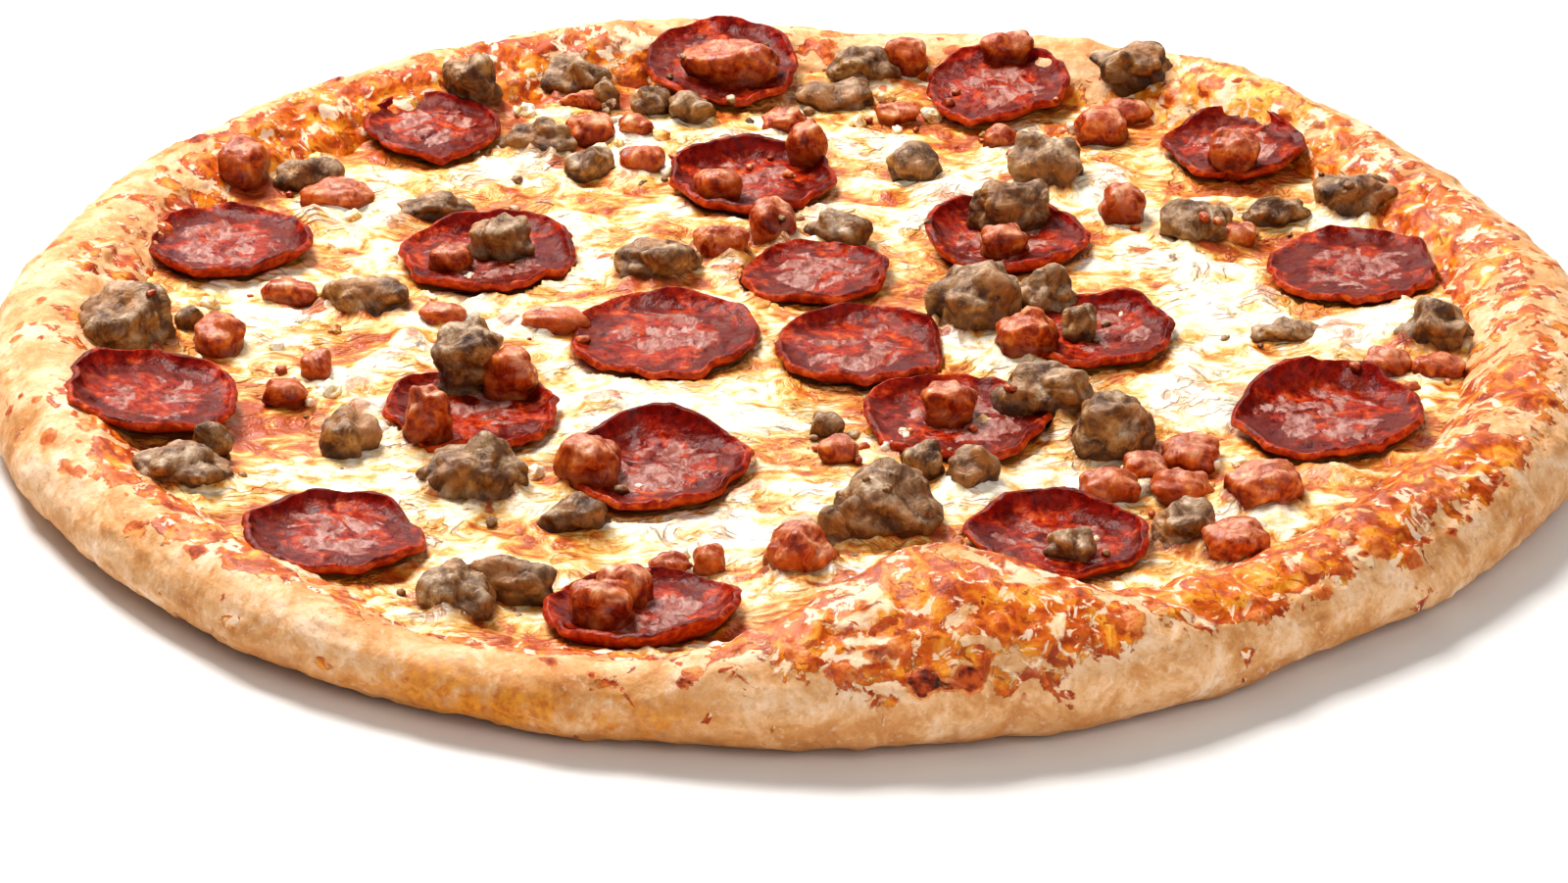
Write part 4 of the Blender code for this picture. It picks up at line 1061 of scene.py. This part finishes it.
def lump(row, seed, kind, ground, fineness):
    """Points and faces of one lump, sunk in what it lies on, whose height ground tells, and masks of painted
    shade in its hollows and at its foot.
    """
    x, y, width, depth, height, turn = row
    form = bmesh.new()
    bmesh.ops.create_icosphere(form, subdivisions=fineness, radius=1.0)
    ways = np.array([vertex.co.normalized() for vertex in form.verts])
    faces = [[vertex.index for vertex in face.verts] for face in form.faces]
    form.free()
    squareness, swelling, coarse, fine = LUMPS[kind]
    box_shape = (np.abs(ways) ** squareness).sum(axis=1) ** (1.0 / squareness)
    swell = np.array([noise.noise(Vector(way) * 1.5 + LUMP_OFFSET * seed) for way in ways])
    shape = ways / box_shape[:, None] * (1.0 + swelling * swell)[:, None]
    low, high = shape.min(axis=0), shape.max(axis=0)
    full = np.array([width, depth, height / (1.0 - BURIED_SHARE)])
    local = ((shape - low) / (high - low) - 0.5) * full
    lobes = 2.0 * np.abs(fractal(local, 125.0, 2, seed * 1.3)) - 0.5
    small = fractal(local, 420.0, 4, seed + 4.0)
    relief = (coarse * lobes + fine * small) * min(1.0, width / SMALL_LUMP)
    local = local + ways * relief[:, None]
    cosine, sine = math.cos(math.radians(turn)), math.sin(math.radians(turn))
    under = np.median([ground(x + width * a, y + depth * b) for a, b in FEELERS])
    points = np.stack([
        x + local[:, 0] * cosine - local[:, 1] * sine,
        y + local[:, 0] * sine + local[:, 1] * cosine,
        under + height - full[2] / 2.0 + local[:, 2],
    ], axis=1)
    # Masks of painted shade: in the deeper hollows of the relief, and towards the foot.
    deepest, highest = np.percentile(relief, 5), np.percentile(relief, 70)
    hollow_shade = np.clip((highest - relief) / (highest - deepest + 1e-9), 0.0, 1.0)
    return points, faces, hollow_shade, smooth_step(under + 0.55 * height, under, points[:, 2])


def join_lumps(name, lumps, material, node=None):
    """One piece of one or more lumps."""
    points, faces, hollow_shades, foot_shades = [], [], [], []
    for places, sides, hollow_shade, foot_shade in lumps:
        faces += [[corner + len(points) for corner in side] for side in sides]
        points += places.tolist()
        hollow_shades += hollow_shade.tolist()
        foot_shades += foot_shade.tolist()
    mesh = mesh_of(name, points, faces)
    # Masks of painted shade in the hollows and at the foot.
    paint(mesh, "hollow_shade", hollow_shades)
    paint(mesh, "foot_shade", foot_shades)
    # Which way each point faces, which picks the painted lit or shaded colour of the meat.
    paint(mesh, "up", normals_of(mesh)[:, 2])
    piece = new_piece(name, mesh, material)
    join_to_frame(piece, node)
    return piece


def crumb_rows(rows, count, sizes):
    """Crumbs that lie near the chunks they fell from."""
    crumbs = []
    for _ in range(count):
        x, y, width, depth, _, _ = random.choice(rows)
        angle, away = random.uniform(0.0, math.tau), random.uniform(0.6, 1.5)
        size = random.uniform(*sizes)
        crumbs.append((x + width * away * math.cos(angle), y + depth * away * math.sin(angle),
                       size * random.uniform(0.8, 1.6), size, size * CRUMB_FLATNESS,
                       random.uniform(0.0, 180.0)))
    return [crumb for crumb in crumbs if math.hypot(crumb[0], crumb[1]) < CRUMB_REACH]


# Stage

def make_camera():
    rise = math.radians(CAMERA_RISE)
    data = bpy.data.cameras.new("camera")
    data.lens = LENS_MM
    data.sensor_width = SENSOR_MM
    data.clip_start = NEAREST
    camera = bpy.data.objects.new("camera", data)
    camera.location = LOOK_AT + Vector((0.0, -math.cos(rise), math.sin(rise))) * CAMERA_DISTANCE
    camera.rotation_euler = (math.pi / 2.0 - rise, 0.0, 0.0)
    bpy.context.scene.collection.objects.link(camera)
    bpy.context.scene.camera = camera


def make_light(name, place, size, power, colour):
    data = bpy.data.lights.new(name, "AREA")
    data.shape = "RECTANGLE"
    data.size, data.size_y = size
    data.energy = power
    data.color = colour
    light = bpy.data.objects.new(name, data)
    light.location = place
    light.rotation_euler = (LOOK_AT - Vector(place)).to_track_quat("-Z", "Y").to_euler()
    bpy.context.scene.collection.objects.link(light)


def make_stage():
    scene = bpy.context.scene
    scene.view_settings.view_transform = "Standard"
    scene.view_settings.look = "Medium High Contrast"
    world = bpy.data.worlds.new("studio")
    world.use_nodes = True
    background = world.node_tree.nodes["Background"].inputs
    background["Color"].default_value = WORLD_COLOUR
    background["Strength"].default_value = WORLD_STRENGTH
    scene.world = world
    corners = [(x * FLOOR_SIZE, y * FLOOR_SIZE, 0.0) for x, y in ((-1, -1), (1, -1), (1, 1), (-1, 1))]
    floor = new_piece("floor", mesh_of("floor", corners, [(0, 1, 2, 3)]), floor_material())
    floor.location.z = -FLOOR_GAP
    for name, (place, size, power, colour) in LIGHTS.items():
        make_light(name, place, size, power, colour)


# Toppings

def make_slices(bed):
    material = pepperoni_material()
    return [make_slice(number, row, bed, material) for number, row in enumerate(PEPPERONI, 1)]


def make_chunks(materials, ground):
    """The chunks that have nodes."""
    chunks = []
    for kind, rows in (("sausage", SAUSAGE), ("ham", HAM)):
        for number, row in enumerate(rows, 1):
            made = lump(row, number, kind, ground, CHUNK_FINENESS)
            name = f"{kind}_{number:02d}"
            chunks.append(join_lumps("chunk_" + name, [made], materials[kind], name))
    return chunks


def make_small_lumps(materials, ground):
    """The smaller toppings and the crumbs, one piece for each kind."""
    for kind, rows in (("sausage", SMALL_SAUSAGE), ("ham", SMALL_HAM)):
        crumbs = crumb_rows(rows, CRUMBS, CRUMB_SIZES)
        for name, some, fineness in (("small_", rows, SMALL_FINENESS), ("crumbs_", crumbs, CRUMB_FINENESS)):
            lumps = [lump(row, seed, kind, ground, fineness) for seed, row in enumerate(some, FIRST_SMALL)]
            join_lumps(name + kind, lumps, materials[kind])


def make_cheese_beads(material, ground):
    beads = crumb_rows(SAUSAGE + HAM + SMALL_HAM, CHEESE_BEADS, BEAD_SIZES)
    lumps = [lump(row, i, "cheese", ground, CRUMB_FINENESS) for i, row in enumerate(beads)]
    mesh = join_lumps("cheese_beads", lumps, material).data
    paint(mesh, "streak", np.full(len(mesh.vertices), BEAD_STREAK))


def highest(trees, bed):
    """A function that tells the height of the bed and of what lies on it."""
    def ground(x, y):
        return max([bed.surface(x, y)] + [height_under(tree, x, y) for tree in trees])
    return ground


random.seed(RANDOM_SEED)
make_camera()
make_stage()
cheese_paint = cheese_material()
meat_paints = {"sausage": sausage_material(), "ham": ham_material()}

bed = Bed(make_crust(crust_material()))
slice_tree = tree_of([piece.data for piece in make_slices(bed)])
chunk_tree = tree_of([piece.data for piece in make_chunks(meat_paints, highest([slice_tree], bed))])
make_cheese(cheese_paint, bed, slice_tree, chunk_tree)
make_small_lumps(meat_paints, highest([slice_tree, chunk_tree], bed))
make_cheese_beads(cheese_paint, bed.surface)
